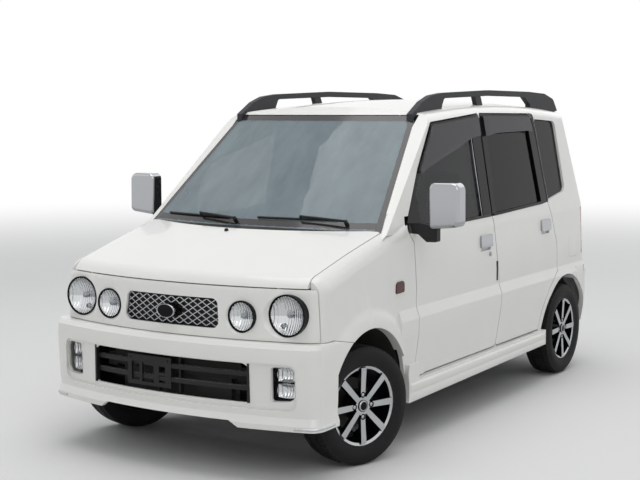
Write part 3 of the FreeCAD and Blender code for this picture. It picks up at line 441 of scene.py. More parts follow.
def joinPieces(pieces):
    for piece in pieces:
        applyModifiers(piece)
    for piece in pieces:
        piece.select_set(True)
    bpy.context.view_layer.objects.active = pieces[0]
    bpy.ops.object.join()
    return bpy.context.active_object


def gridSheet(rows, out):
    # open sheet through rows of points, whose middle faces the way of out
    startPiece()
    bpy.ops.mesh.primitive_grid_add(x_subdivisions=len(rows[0]) - 1, y_subdivisions=len(rows) - 1, size=1)
    sheet = bpy.context.active_object
    for vertex, point in zip(sheet.data.vertices, [point for row in rows for point in row]):
        vertex.co = point
    sheet.data.update()
    if sheet.data.polygons[len(sheet.data.polygons) // 2].normal.dot(Vector(out)) < 0:
        sheet.data.flip_normals()
    return sheet


def softBox(low, high, bevel=0.004, segments=3):
    # a block with every edge rounded, worked from a cube
    startPiece()
    middle = [(a + b) / 2 for a, b in zip(low, high)]
    bpy.ops.mesh.primitive_cube_add(size=1, location=middle)
    piece = bpy.context.active_object
    piece.scale = [b - a for a, b in zip(low, high)]
    bpy.ops.object.transform_apply(location=True, rotation=True, scale=True)
    addBevel(piece, bevel, segments)
    return piece


def paintFaces(nodeName, material, chosen=lambda c, n: True):
    # another finish on the faces of a CAD piece that a test picks by centre and normal, or on all
    mesh = nodes[nodeName].data
    mesh.materials.append(material)
    index = len(mesh.materials) - 1
    for face in mesh.polygons:
        if chosen(face.center, face.normal):
            face.material_index = index


def sideX(z):
    # half width of the body side at a height, in metres
    if z < 0.828:
        return 0.714
    if z < 1.010:
        return 0.714 - (z - 0.828) ** 2 / (2 * 1.053)
    return 0.714 - (z - 0.920) * 0.1763


def alongLine(points, v):
    # height of a line of points at one place along it
    for (v0, w0), (v1, w1) in zip(points, points[1:]):
        if v <= v1:
            return w0 + (w1 - w0) * (v - v0) / (v1 - v0)
    return points[-1][1]


def insideOutline(points, u, v):
    inside = False
    for (u0, v0), (u1, v1) in zip(points, points[1:] + points[:1]):
        if (v0 > v) != (v1 > v) and u < u0 + (u1 - u0) * (v - v0) / (v1 - v0):
            inside = not inside
    return inside


# smooth shading of the CAD pieces; their points stay where they are
for obj in nodes.values():
    for face in obj.data.polygons:
        face.use_smooth = True
    weld = obj.modifiers.new("weld", "WELD")
    weld.merge_threshold = 0.00002
    split = obj.modifiers.new("split", "EDGE_SPLIT")
    split.split_angle = math.radians(28)
    even = obj.modifiers.new("even", "WEIGHTED_NORMAL")
    even.keep_sharp = True


# painted door frames, pillar film and inner door trims
beltLine = [(0.300, 1.003), (1.380, 1.018), (2.035, 1.038), (2.200, 1.050)]   # behind the axle, height
pillarFilm = [(2.080, 1.046), (2.152, 1.052), (2.112, 1.526), (2.100, 1.560), (2.030, 1.560)]


def onDoorFrame(centre, normal):
    return centre.z > alongLine(beltLine, centre.y - frontAxleY)


mirrorValues = {"shellFrom": 0.8135, "shellFoot": 1.029, "glassFrom": 0.815, "glassY": 0.4435}

for side in (1, -1):
    hand = "left" if side > 0 else "right"
    v = mirrorValues
    for name in ("front_door_" + hand, "rear_door_" + hand):
        paintFaces(name, lacquer, onDoorFrame)
        paintFaces(name, cabinPlastic, lambda c, n: n.x * side < -0.35 and abs(c.x) < 0.70)
    paintFaces("door_mirror_" + hand, blackPlastic,
               lambda c, n: abs(c.x) < v["shellFrom"] or c.z < v["shellFoot"])
    paintFaces("door_mirror_" + hand, silvered,
               lambda c, n: n.y > 0.9 and abs(c.y - aft(v["glassY"])) < 0.001 and abs(c.x) > v["glassFrom"])

paintFaces("body_sides", lacquer, lambda c, n: abs(n.x) > 0.3 and n.x * c.x > 0 and insideOutline(
    pillarFilm, c.y - frontAxleY, c.z))
paintFaces("body_sides", cabinPlastic, lambda c, n: n.x * c.x < 0 and abs(n.x) > 0.5 and abs(c.x) < 0.66)
gapShadeValues = {
    "low": 1.030, "high": 1.535, "inner": 0.560,
    # start and end behind the axle, least depth under the body side
    "rows": [(1.30, 1.47, -1.0), (2.02, 2.10, -1.0), (2.02, 2.17, 0.0015)],
}


def shadeInWindowGap(centre, normal):
    # painted shade: the body is black where the gaps between the window frames open on to it
    v = gapShadeValues
    behind, across = centre.y - frontAxleY, abs(centre.x)
    return v["low"] < centre.z < v["high"] and across > v["inner"] and any(
        start < behind < end and across < sideX(centre.z) - depth for start, end, depth in v["rows"])


# painted shade in the gaps between the window frames
paintFaces("body_sides", lacquer, shadeInWindowGap)
paintFaces("roof_panel", roofCloth, lambda c, n: n.z < -0.6)


screenValues = {
    "foot": 1.004, "top": 1.552, "footHalf": 0.671, "topHalf": 0.531,   # heights and half widths of the glass
    "band": 0.026, "radius": 0.036,     # border and its inner corners at the top
}


def onScreenBorder(centre, normal):
    if normal.y > -0.2:
        return False
    v = screenValues
    slope = (v["footHalf"] - v["topHalf"]) / (v["top"] - v["foot"])
    lean = math.hypot(1.0, slope)
    edge = v["footHalf"] - slope * (centre.z - v["foot"]) - v["band"] * lean
    top = v["top"] - v["band"]
    across = abs(centre.x)
    if centre.z < v["foot"] + v["band"] or centre.z > top or across > edge:
        return True
    middleZ = top - v["radius"]
    middleX = v["topHalf"] - (v["band"] + v["radius"]) * (lean - slope)
    beyond = across > middleX and centre.z > middleZ
    return beyond and math.hypot(across - middleX, centre.z - middleZ) > v["radius"]


# black border of the windscreen, lightened by a painted reflection of the glass over it
paintFaces("windshield", fritPaintedReflection, onScreenBorder)

# side windows: clearer and darker glass than the windscreen, smoked rain visors over them
sideGlass = glassSheet("greenGlass", "#1B2122", 0.50, 0.02, 0.3)
for hand in ("left", "right"):
    paintFaces("front_door_glass_" + hand, sideGlass)
    for name in ("front_door_glass_", "rear_door_glass_"):
        paintFaces(name + hand, smoked, lambda c, n: abs(c.x) > sideX(c.z) + 0.0012)

# the radiator is black all over, its tanks too
paintFaces("radiator", blackPlastic)

# lamps: black bezels, fluted reflectors, bulbs with their caps
lampValues = [
    # x, y of the face, z, radius of the glass, depth of the dish (metres)
    (0.573, -0.446, 0.720, 0.084, 0.034),
    (0.368, -0.488, 0.706, 0.062, 0.029),
]


def onBezel(centre, normal):
    # outside the glass of the nearer lamp
    away = [(math.hypot(abs(centre.x) - x, centre.z - z), radius) for x, y, z, radius, reach in lampValues]
    distance, radius = min(away)
    return distance > radius - 0.0015


paintFaces("lamp_bowls", reflector)
paintFaces("lamp_bowls", lacquer, onBezel)
grilleValues = {
    "half": 0.2545, "top": 0.7712, "foot": 0.6518,   # wire mesh inside its frame
    "ovalHalf": 0.05226, "ovalHigh": 0.03279, "ovalZ": 0.709,   # backing of the oval
    "barTops": (0.413, 0.474),          # of the two bars in the lower intake
}


def offMesh(centre, normal):
    v = grilleValues
    onOval = (centre.x / v["ovalHalf"]) ** 2 + ((centre.z - v["ovalZ"]) / v["ovalHigh"]) ** 2 < 1.0
    return abs(centre.x) > v["half"] or not v["foot"] <= centre.z <= v["top"] or onOval


# top faces of the intake bars, which get the painted highlight
def onLitBarTop(centre, normal):
    return normal.z > 0.7 and min(abs(centre.z - top) for top in grilleValues["barTops"]) < 0.001


paintFaces("nose_grille", lacquer, offMesh)
paintFaces("bumper_grille", barHighlightGrey, onLitBarTop)

dishSteps = 12
dishPieces = []
lampPieces = []
for x, y, z, radius, reach in lampValues:
    centre = (x, aft(y), z)
    edge, hole = radius - 0.003, 0.013
    front = []
    for k in range(dishSteps + 1):
        r = hole + (edge - hole) * k / dishSteps
        front.append((0.001 + reach * (1 - (r / edge) ** 2), r))
    dishPieces.append(spinProfile(front + [(d + 0.0012, r) for d, r in reversed(front)], centre, (0, 1, 0), 64))
    lampPieces.append(spinProfile([(reach + 0.002, 0), (reach + 0.002, 0.0128), (reach - 0.016, 0.0120),
                                   (reach - 0.020, 0.009), (reach - 0.021, 0)], centre, (0, 1, 0), 24))
    if radius > 0.08:   # the large lamps have a second bulb
        spot = (x - 0.026, centre[1], z - 0.046)
        lampPieces.append(spinProfile([(0.024, 0), (0.024, 0.0115), (0.008, 0.0105), (0.006, 0.0075),
                                       (0.012, 0.0060), (0.013, 0)], spot, (0, 1, 0), 24))
finishPair(joinPieces(dishPieces), "lampDishes", "body", "bright_metal", reflector, 50)
finishPair(joinPieces(lampPieces), "lampBulbs", "body", "bright_metal")
print("lamps dressed")

# plain oval on the grille: a bright ring round a black disc, drawn as a circle of radius one
ovalValues = {
    "halfWide": 0.050, "halfHigh": 0.031, "face": -0.5455, "z": 0.709,
    "ring": [(0.0, 1.0), (-0.0015, 0.97), (-0.0015, 0.90), (0.0, 0.87), (0.009, 0.87), (0.009, 1.0)],
    "disc": [(0.0025, 0), (0.003, 0.80), (0.0035, 0.875), (0.014, 0.875), (0.014, 0)],
}
v = ovalValues
for part, name, slot, material in (("ring", "grilleOvalRing", "bright_metal", chrome),
                                   ("disc", "grilleOvalDisc", "black_plastic", lacquer)):
    piece = spinProfile(v[part], (0, 0, 0), (0, 1, 0), 64)
    for vertex in piece.data.vertices:
        x, y, z = vertex.co
        vertex.co = (x * v["halfWide"], y + aft(v["face"]), z * v["halfHigh"] + v["z"])
    finishPiece(piece, name, "body", slot, material, 50)


# wheels: turned spoke faces and lip over black, tyres with grooves and blocks
wheelValues = {
    "wheelX": 0.645, "kingpinX": 0.605, "height": 0.2685, "steer": 18.0,
    "faceOut": 0.0705, "lipRadius": 0.187, "capRadius": 0.027, "nutCircle": 0.050,
    # profiles: how far out along the axle, radius
    "cap": [(0.0676, 0), (0.0676, 0.0185), (0.0690, 0.0175), (0.0700, 0.0120), (0.0704, 0)],
    "capRing": [(0.0676, 0.0255), (0.0695, 0.0240), (0.0706, 0.0215), (0.0700, 0.0190), (0.0676, 0.0190)],
    "nut": [(0.0670, 0), (0.0664, 0.0050), (0.0640, 0.0086), (0.0566, 0.0096), (0.0566, 0)],
}


def wheelPlace(side, y, steered):
    v = wheelValues
    turn = math.radians(v["steer"]) if steered else 0.0
    reach = v["wheelX"] - v["kingpinX"]
    out = Vector((side * math.cos(turn), -side * math.sin(turn), 0.0))
    return Vector((side * v["kingpinX"], y, v["height"])) + out * reach, out


wheelRows = [
    # name, side, y, steered
    ("front_left", 1, frontAxleY, True), ("front_right", -1, frontAxleY, True),
    ("rear_left", 1, rearAxleY, False), ("rear_right", -1, rearAxleY, False),
]
tyreHalf = [
    (0.0685, 0.1795), (0.0815, 0.2100), (0.0800, 0.2450), (0.0660, 0.2645), (0.0360, 0.2685), (0.0330, 0.2615),
    (0.0260, 0.2615), (0.0230, 0.2685),
]
tyreProfile = [(-out, radius) for out, radius in tyreHalf] + tyreHalf[::-1]
tyreSteps = 46


def wrapMap(piece, centre, axis):
    # map that runs round the tyre and across its tread
    aside = axis.orthogonal().normalized()
    other = axis.cross(aside)
    layer = piece.data.uv_layers.new(name="wrap")
    for face in piece.data.polygons:
        d = face.center - centre
        middle = math.atan2(d.dot(other), d.dot(aside))
        for loop in face.loop_indices:
            v = piece.data.vertices[piece.data.loops[loop].vertex_index].co - centre
            angle = math.atan2(v.dot(other), v.dot(aside))
            while angle - middle > math.pi:
                angle -= 2 * math.pi
            while angle - middle < -math.pi:
                angle += 2 * math.pi
            layer.data[loop].uv = (angle / (2 * math.pi) + 0.5, v.dot(axis) / 0.165 + 0.5)


v = wheelValues
for name, side, y, steered in wheelRows:
    centre, out = wheelPlace(side, y, steered)

    def onTurnedFace(c, n):
        d = c - centre
        along = d.dot(out)
        radius = (d - out * along).length
        if radius > v["lipRadius"] - 0.021 and along > 0.05:
            return n.dot(out) > 0.3 or radius > v["lipRadius"] - 0.009
        return along > v["faceOut"] - 0.0085 and n.dot(out) > 0.8 and radius > v["capRadius"] + 0.001

    body = name + "_wheel"
    paintFaces("rim_" + name, polished, onTurnedFace)
    tyre = spinProfile(tyreProfile, centre, out, tyreSteps)
    wrapMap(tyre, centre, out)
    finishPiece(tyre, "treadTyre_" + name, body, "tyre", rubber, 40)
    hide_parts("tyre_" + name)
    finishPiece(spinProfile(v["cap"], centre, out, 32), "wheelCap_" + name, body, "wheel_alloy", lacquer)
    finishPiece(spinProfile(v["capRing"], centre, out, 32), "wheelCapRim_" + name, body, "wheel_alloy", chrome)
    nuts = []
    for quarter in range(4):
        turn = Matrix.Rotation(math.radians(90 * quarter), 3, out)
        nuts.append(spinProfile(v["nut"], centre + turn @ Vector((0, 0, v["nutCircle"])), out, 20))
    finishPiece(joinPieces(nuts), "wheelNuts_" + name, body, "wheel_alloy", chrome)
print("wheels dressed")


# seats: sewn covers over foam, swelled by cloth simulation
seatValues = {
    "voxel": 0.011,
    "pressure": 4.0,
    "frames": 14,
    "swell": 0.012,
    "channelDepth": 0.010,
    "seatSides": (0.060, 0.560), "inset": 0.014, "headHalfWide": 0.112,
    "cushion": [(0.840, 0.415), (1.280, 0.400), (1.280, 0.495), (0.840, 0.525)],
    "back": [(1.255, 0.515), (1.340, 0.500), (1.495, 1.045), (1.425, 1.060)],
    "head": [(1.457, 1.102), (1.515, 1.102), (1.552, 1.228), (1.498, 1.238)],
    "base": [(0.880, 0.257), (1.240, 0.398)], "baseInset": 0.060,
    "posts": [(1.460, 1.020), (1.484, 1.115)], "postsApart": 0.120,
    "benchHalfWide": 0.442,
    "benchCushion": [(1.735, 0.425), (2.085, 0.425), (2.085, 0.530), (1.735, 0.545)],
    "benchBack": [(2.100, 0.520), (2.168, 0.516), (2.292, 1.075), (2.242, 1.082)],
}


def swellPad(piece, cap):
    # the cover as cloth under air pressure; how far a point may go is capped
    start = [v.co.copy() for v in piece.data.vertices]
    clothMod = piece.modifiers.new("cloth", "CLOTH")
    settings = clothMod.settings
    settings.quality = 4
    settings.use_pressure = True
    settings.uniform_pressure_force = seatValues["pressure"]
    settings.effector_weights.gravity = 0.0
    settings.tension_stiffness = 20
    settings.compression_stiffness = 20
    clothMod.point_cache.frame_start = 1
    clothMod.point_cache.frame_end = seatValues["frames"]
    for step in range(1, seatValues["frames"] + 1):
        scene.frame_set(step)
    applyModifiers(piece)
    scene.frame_set(1)
    for vertex, place in zip(piece.data.vertices, start):
        moved = vertex.co - place
        if moved.length > cap:
            vertex.co = place + moved * (cap / moved.length)


def paddedForm(outline, x0, x1):
    # foam block from its side outline (behind the axle, z), rounded, remeshed and swelled
    points = [(x0, aft(y), z) for y, z in outline]
    piece = pullOutline(points, (x1 - x0, 0, 0), 0.028, 4)
    applyModifiers(piece)
    remesh = piece.modifiers.new("remesh", "REMESH")
    remesh.mode = "VOXEL"
    remesh.voxel_size = seatValues["voxel"]
    bpy.ops.object.modifier_apply(modifier=remesh.name)
    swellPad(piece, seatValues["swell"])
    return piece


def sewChannels(piece, x0, x1, places, along, gap):
    # sewn channels: the cover is drawn in along lines across x, fading towards the piping
    for vertex in piece.data.vertices:
        for place in places:
            near = abs(vertex.co.x - (x0 + (x1 - x0) * place)) / gap
            if near < 1.0:
                vertex.co -= Vector(along) * seatValues["channelDepth"] * (1 - near) ** 2


def finishPad(piece, name):
    smooth = piece.modifiers.new("smooth", "SUBSURF")
    smooth.levels = 1
    smooth.render_levels = 1
    finishPiece(piece, name, "body", "seat_fabric", cloth, 60)


v = seatValues
x0, x1 = v["seatSides"]
a, b = x0 + v["inset"], x1 - v["inset"]
middle = (x0 + x1) / 2
cushion = paddedForm(v["cushion"], a, b)
sewChannels(cushion, a, b, (0.24, 0.76), (0, 0, 1), 0.022)
back = paddedForm(v["back"], a, b)
sewChannels(back, a, b, (0.24, 0.76), (0, -1, 0.28), 0.022)
head = paddedForm(v["head"], middle - v["headHalfWide"], middle + v["headHalfWide"])
finishPad(cushion, "seatCushion_left")
finishPad(back, "seatBack_left")
finishPad(head, "headRest_left")
for pad, name in ((cushion, "seatCushion_right"), (back, "seatBack_right"), (head, "headRest_right")):
    twin = mirrorCopy(pad)
    finishPiece(twin, name, "body", "seat_fabric", cloth, 60)
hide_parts("front_seats")
(y0, z0), (y1, z1) = v["base"]
base = softBox((x0 + v["baseInset"], aft(y0), z0), (x1 - v["baseInset"], aft(y1), z1), 0.012)
finishPair(base, "seatBase", "body", "trim_plastic")
posts = [bendRod([(middle + share * v["postsApart"], aft(y), z) for y, z in v["posts"]], 0.005)
         for share in (-0.5, 0.5)]
finishPair(joinPieces(posts), "headRestPosts", "body", "bright_metal")

half = v["benchHalfWide"]
bench = paddedForm(v["benchCushion"], -half, half)
sewChannels(bench, -half, half, (0.14, 0.5, 0.86), (0, 0, 1), 0.024)
finishPad(bench, "benchCushion")
benchBack = paddedForm(v["benchBack"], -half, half)
sewChannels(benchBack, -half, half, (0.14, 0.5, 0.86), (0, -1, 0.2), 0.024)
finishPad(benchBack, "benchBack")
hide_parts("rear_bench")
print("seats sewn")


# cabin: door trims, dashboard fittings, pedals, mirror, visors
cabinValues = {
    "columnX": -0.350,
    "columnLean": 22.0,
    "wheelY": 0.790,
    "wheelZ": 0.905,
}


def doorTrim(tag, y0, y1, armY0, armY1):
    # moulded inner panel with an armrest and a pull
    outline = [(y0, 0.375), (y1, 0.375), (y1 + 0.015, 0.60), (y1 - 0.02, 0.965), (y0 + 0.01, 0.955)]
    panel = pullOutline([(0.652, aft(y), z) for y, z in outline], (0.014, 0, 0), 0.006, 3)
    arm = softBox((0.592, aft(armY0), 0.660), (0.655, aft(armY1), 0.705), 0.014, 4)
    pocket = softBox((0.628, aft(y0 + 0.06), 0.400), (0.655, aft(y1 - 0.12), 0.500), 0.010)
    pull = bendRod([(0.650, aft(armY0 + 0.02), 0.80), (0.632, aft(armY0 + 0.03), 0.80),
                    (0.632, aft(armY0 + 0.11), 0.80), (0.650, aft(armY0 + 0.12), 0.80)], 0.006)
    body = tag + "_{}_door"
    finishPair(joinPieces([panel, arm, pocket]), tag + "DoorTrim", body, "trim_plastic", cabinPlastic)
    finishPair(pull, tag + "DoorPull", body, "bright_metal")


doorTrim("front", 0.520, 1.300, 0.860, 1.180)
doorTrim("rear", 1.470, 1.930, 1.580, 1.860)

lean = math.radians(cabinValues["columnLean"])
columnLine = Vector((0, math.cos(lean), math.sin(lean)))
wheelCentre = Vector((cabinValues["columnX"], aft(cabinValues["wheelY"]), cabinValues["wheelZ"]))
pad = spinProfile([(0.012, 0), (0.012, 0.062), (0.026, 0.060), (0.036, 0.050), (0.042, 0.030), (0.044, 0)],
                  wheelCentre, columnLine, 40)
finishPiece(pad, "wheelPad", "steering_wheel", "black_plastic", smooth=50)
for k, x in enumerate((-0.416, -0.284)):
    dial = spinProfile([(0, 0), (0, 0.036), (0.004, 0.038), (0.006, 0.036), (0.003, 0.033), (0.003, 0)],
                       (x, aft(0.6505), 0.985), (0, 0.98, 0.2), 40)
    finishPiece(dial, "dialRing_%d" % (k + 1), "body", "bright_metal")
    middle = dial.data.vertices[0].co.x
    needle = softBox((middle - 0.0015, aft(0.6520), 0.982), (middle + 0.0015, aft(0.6560), 1.012),
                     0.0006)
    finishPiece(needle, "dialNeedle_%d" % (k + 1), "body", "lamp_red")

vents = []
y = aft(0.650)
for x in (-0.555, -0.105, 0.105, 0.555):
    vents.append(softBox((x - 0.055, y - 0.004, 0.842), (x + 0.055, y + 0.010, 0.902), 0.005))
    for z in (0.850, 0.861, 0.872, 0.883, 0.894):
        vents.append(softBox((x - 0.047, y + 0.004, z), (x + 0.047, y + 0.014, z + 0.003), 0.001))
finishPiece(joinPieces(vents), "airVents", "body", "black_plastic")
knobs = [spinProfile([(-0.004, 0), (-0.004, 0.017), (0.010, 0.015), (0.016, 0.013), (0.017, 0)],
                     (x, aft(0.670), 0.600), (0, 1, 0), 28) for x in (-0.055, 0.0, 0.055)]
finishPiece(joinPieces(knobs), "heaterKnobs", "body", "trim_plastic")
leverRod = bendRod([(0.02, aft(0.655), 0.500), (0.02, aft(0.735), 0.560),
                    (0.02, aft(0.760), 0.640)], 0.006)
leverKnob = spinProfile([(-0.030, 0), (-0.030, 0.012), (0.0, 0.020), (0.022, 0.018), (0.030, 0)],
                        (0.02, aft(0.763), 0.655), (0, 0.25, 0.97), 28)
finishPiece(leverRod, "gearLever", "body", "bright_metal")
finishPiece(leverKnob, "gearKnob", "body", "black_plastic", smooth=50)

pedals = []
for x, z, wide in ((-0.300, 0.370, 0.050), (-0.430, 0.380, 0.075)):
    y = aft(0.480)
    pedals.append(softBox((x - wide / 2, y, z - 0.045), (x + wide / 2, y + 0.012, z + 0.045), 0.004))
    pedals.append(bendRod([(x, y + 0.002, z), (x, y - 0.06, z + 0.12), (x, aft(0.370), z + 0.19)], 0.006))
finishPiece(joinPieces(pedals), "pedals", "body", "black_plastic")

backMirror = softBox((-0.115, aft(0.774), 1.425), (0.115, aft(0.800), 1.485), 0.010, 4)
mirrorStem = bendRod([(0, aft(0.786), 1.470), (0, aft(0.770), 1.520)], 0.007)
finishPiece(joinPieces([backMirror, mirrorStem]), "backMirror", "body", "black_plastic")

boxRows = [
    # name, body, slot, material, half width, y and z of the near corner, of the far corner, edge
    ("centrePanel", "body", "black_plastic", blackPlastic, 0.095, 0.652, 0.560, 0.668, 0.690, 0.006),
    ("radioFace", "body", "black_plastic", lacquer, 0.080, 0.664, 0.636, 0.674, 0.680, 0.003),
    ("backMirrorGlass", "body", "bright_metal", silvered, 0.108, 0.7995, 1.431, 0.8015, 1.479, 0.001),
    ("tailgateHandle", "tailgate", "black_plastic", blackPlastic, 0.070, 2.800, 0.886, 2.8065, 0.914, 0.003),
    ("highStopLamp", "tailgate", "lamp_red", redLens, 0.110, 2.6625, 1.512, 2.6785, 1.534, 0.004),
]
for name, body, slot, material, half, y0, z0, y1, z1, edge in boxRows:
    finishPiece(softBox((-half, aft(y0), z0), (half, aft(y1), z1), edge), name, body, slot, material)
for k, x in enumerate((-0.300, 0.300)):
    sunVisor = softBox((x - 0.190, aft(0.860), 1.497), (x + 0.190, aft(1.010), 1.513), 0.007)
    finishPiece(sunVisor, "sunVisor_%d" % (k + 1), "body", "trim_plastic", roofCloth)
print("cabin fitted")


# painted foot of each windscreen pillar, which runs out on to the wing
footValues = {
    "startY": 0.150, "endY": 0.302,     # behind the axle
    "rakeZ": 1.102, "rakeY": 0.290, "rakeX": 0.680,   # a point of the raked face
    "rake": 0.835, "bow": 0.267,
    "blend": 0.007,                     # how softly it runs out
    "rows": 38, "across": 10, "down": 8,
    "stand": 0.0006,                    # in front of the side
    "glassFoot": 0.187, "inner": 0.6695, "narrowing": 0.26,   # inner edge, which follows the glass
}


def wingHeight(x, y):
    # height of the wing under a point, from the CAD piece
    hit, place, normal, face = nodes["front_fenders"].ray_cast((x, y, 2.0), (0, 0, -1))
    return place.z if hit else None


def footHeight(x, y, wing):
    v = footValues
    rake = v["rakeZ"] + v["rake"] * (y - aft(v["rakeY"])) - v["bow"] * (x - v["rakeX"])
    over = (wing - rake) / v["blend"]
    if over > 30:
        return wing
    return rake + v["blend"] * math.log(1.0 + math.exp(over)) - 0.0008


def footRow(y):
    # one row of points: across from the glass to the side, then down the side
    v = footValues
    wingMiddle = wingHeight(0.684, y) or 1.0
    if wingMiddle > 1.05:
        wingMiddle = 1.036
    beyond = y - aft(v["glassFoot"])
    inner = 0.671 if beyond < 0 else v["inner"] - v["narrowing"] * beyond
    top = footHeight(0.686, y, wingMiddle)
    edge = sideX(top) + v["stand"]
    outer = min(edge, 0.700)
    points = []
    for column in range(v["across"]):
        x = inner + (outer - 0.002 - inner) * column / (v["across"] - 1)
        wing = wingMiddle + 0.3 * (0.684 - x) if x < 0.684 else wingMiddle - 0.9 * (x - 0.684)
        points.append((x, y, footHeight(x, y, wing) - (0.003 if column == 0 else 0.0)))
    points.append((edge - 0.0004, y, top - 0.0012))
    for row in range(1, v["down"]):
        drop = row / (v["down"] - 1)
        z = top - 0.0015 - (top - 1.012) * drop if top > 1.016 else top - 0.004 * drop
        points.append((sideX(z) + v["stand"], y, z))
    return points


v = footValues
footRows = [footRow(aft(v["startY"] + (v["endY"] - v["startY"]) * row / (v["rows"] - 1)))
            for row in range(v["rows"])]
finishPair(gridSheet(footRows, (0, 0, 1)), "pillarFoot", "body", "white_paint", enamel, 40)

# rounded step along the outside of each skirt
skirtValues = {
    "startY": 0.349, "endY": 2.025,     # behind the axle
    "face": 0.7375, "top": 0.2990,
    "loss": 0.155,                      # share of its height that the skirt loses towards the rear
    "run": 0.03,                        # length over which each end runs out
    "ends": (0.0, 0.3, 0.75, 1.0),
    # how far it stands out, height from the top
    "profile": [(-0.0008, 0.0), (0.0030, -0.0010), (0.0062, -0.0035), (0.0082, -0.0085), (0.0085, -0.0180),
                (0.0070, -0.0300), (0.0040, -0.0400), (0.0018, -0.0445), (0.0014, -0.0475), (0.0030, -0.0510),
                (0.0042, -0.0560), (0.0042, -0.0680), (0.0034, -0.0780), (0.0016, -0.0815), (-0.0008, -0.0830)],
}
v = skirtValues
length = v["endY"] - v["startY"]
shares = [share * v["run"] / length for share in v["ends"]]
shares += [0.1 * k for k in range(1, 10)] + [1.0 - share for share in reversed(shares)]
sunk = v["profile"][0][0]
stepRows = []
for share in shares:
    away = min(share, 1.0 - share) * length / v["run"]
    proud = math.sin(min(away, 1.0) * math.pi / 2)
    stepRows.append([(v["face"] + sunk + (out - sunk) * proud, aft(v["startY"] + length * share),
                      v["top"] + drop * (1.0 - v["loss"] * share)) for out, drop in v["profile"]])
finishPair(gridSheet(stepRows, (1, 0, 0)), "skirtStep", "body", "white_paint", enamel, 50)

# black sheets beside the radiator, behind the lower intake, standing for air guides: painted shade that keeps
# the intake dark
shadeSheet = softBox((0.325, aft(-0.4435), 0.262), (0.570, aft(-0.4375), 0.520), 0.0015)
finishPair(shadeSheet, "airGuideShade", "body", "black_plastic", lacquer)

# black band along the foot of the windscreen, where the wipers lie
bandValues = {
    "low": 1.012, "high": 1.062, "half": 0.640, "taper": 0.2555, "stand": 0.0006, "columns": 41, "rows": 4,
}
v = bandValues
bandRows = []
for row in range(v["rows"]):
    z = v["low"] + (v["high"] - v["low"]) * row / (v["rows"] - 1)
    half = v["half"] - (z - v["low"]) * v["taper"]
    points = []
    for column in range(v["columns"]):
        x = -half + 2 * half * column / (v["columns"] - 1)
        hit, place, normal, face = nodes["windshield"].ray_cast((x, -3.0, z), (0, 1, 0))
        points.append(place + normal * v["stand"])
    bandRows.append(points)
# black band, lightened by a painted reflection of the glass over it
finishPiece(gridSheet(bandRows, (0, -1, 0)), "screenBand", "body", "clear_glass", fritPaintedReflection, 50)

# black foot of each mirror sail, over the front corner of the door
sailOutline = [(0.3875, 1.008), (0.4365, 0.9585), (0.4480, 0.9500), (0.4900, 0.9460), (0.5500, 0.9700),
               (0.5600, 1.0085)]
sail = pullOutline([(0.0, aft(y), z) for y, z in sailOutline], (0.0025, 0, 0), 0)
for vertex in sail.data.vertices:
    vertex.co.x += sideX(vertex.co.z) - 0.0006
finishPair(sail, "mirrorSail", "front_{}_door", "black_plastic")


# outside: belt strips, locks, nozzle, lip strips, bumper lamps, tail fittings
def beltStrip(y0, y1):
    # rubber strip along the foot of a side window
    z0, z1 = alongLine(beltLine, y0) + 0.001, alongLine(beltLine, y1) + 0.001
    foot, top = sideX(z0), sideX(z0 + 0.013)
    y = aft(y0)
    outline = [(foot - 0.003, y, z0), (foot + 0.0035, y, z0 + 0.001), (top + 0.0035, y, z0 + 0.011),
               (top - 0.003, y, z0 + 0.013)]
    return pullOutline(outline, (sideX(z1) - foot, y1 - y0, z1 - z0), 0.0012)


for tag, y0, y1 in (("front", 0.470, 1.338), ("rear", 1.372, 2.075)):
    finishPair(beltStrip(y0, y1), tag + "BeltStrip", tag + "_{}_door", "black_plastic", seal)
lock = spinProfile([(-0.004, 0), (-0.004, 0.0115), (0.0015, 0.0115), (0.0025, 0.0095), (0.0025, 0.004),
                    (0.0015, 0.0025), (0.0015, 0)], (0.714, aft(1.300), 0.822), (1, 0, 0), 28)
finishPair(lock, "doorLock", "front_{}_door", "bright_metal")
guard = softBox((0.7105, aft(1.3765), 0.672), (0.7165, aft(1.3925), 0.776), 0.0015)
finishPair(guard, "edgeGuard", "front_{}_door", "black_plastic", seal)

nozzle = spinProfile([(-0.004, 0), (-0.004, 0.011), (0.004, 0.010), (0.009, 0.006), (0.010, 0)],
                     (-0.063, aft(0.0), 1.0155), (0, -0.26, 0.965), 24)
finishPiece(nozzle, "washerNozzle", "hood", "black_plastic")

bumperValues = {"tip": -0.575, "half": 0.738, "bow": 2.500, "corner": 0.062, "stripZ": 0.251}


def bumperEdge(s, out):
    # point of the bumper's plan outline at s metres past the start of its corner
    v = bumperValues
    cornerX = v["half"] - v["corner"]
    bowY = v["tip"] + v["bow"]
    cornerY = bowY - math.sqrt((v["bow"] - v["corner"]) ** 2 - cornerX ** 2)
    startTurn = math.atan2(cornerY - bowY, cornerX)
    if s < 0:
        turn = startTurn + s / v["bow"]
        return (math.cos(turn) * (v["bow"] + out), bowY + math.sin(turn) * (v["bow"] + out))
    arcLength = v["corner"] * -startTurn
    if s < arcLength:
        turn = startTurn + s / v["corner"]
        r = v["corner"] + out
        return (cornerX + math.cos(turn) * r, cornerY + math.sin(turn) * r)
    return (v["half"] + out, cornerY + s - arcLength)


places = [bumperEdge(-0.06 + 0.012 * k, -0.0015) for k in range(20)]
lip = bendRod([(x, aft(y), bumperValues["stripZ"]) for x, y in places], 0.005, 12)
finishPair(lip, "lipStrip", "body", "bright_metal", polished)

turnLampValues = {
    "x": 0.582, "faceY": -0.4600, "halfWide": 0.043, "depth": 0.018, "back": 0.030,
    "widen": 0.22,                      # at the four corners, towards a rounded square
    "outward": 0.23,                    # slope with the bumper
}


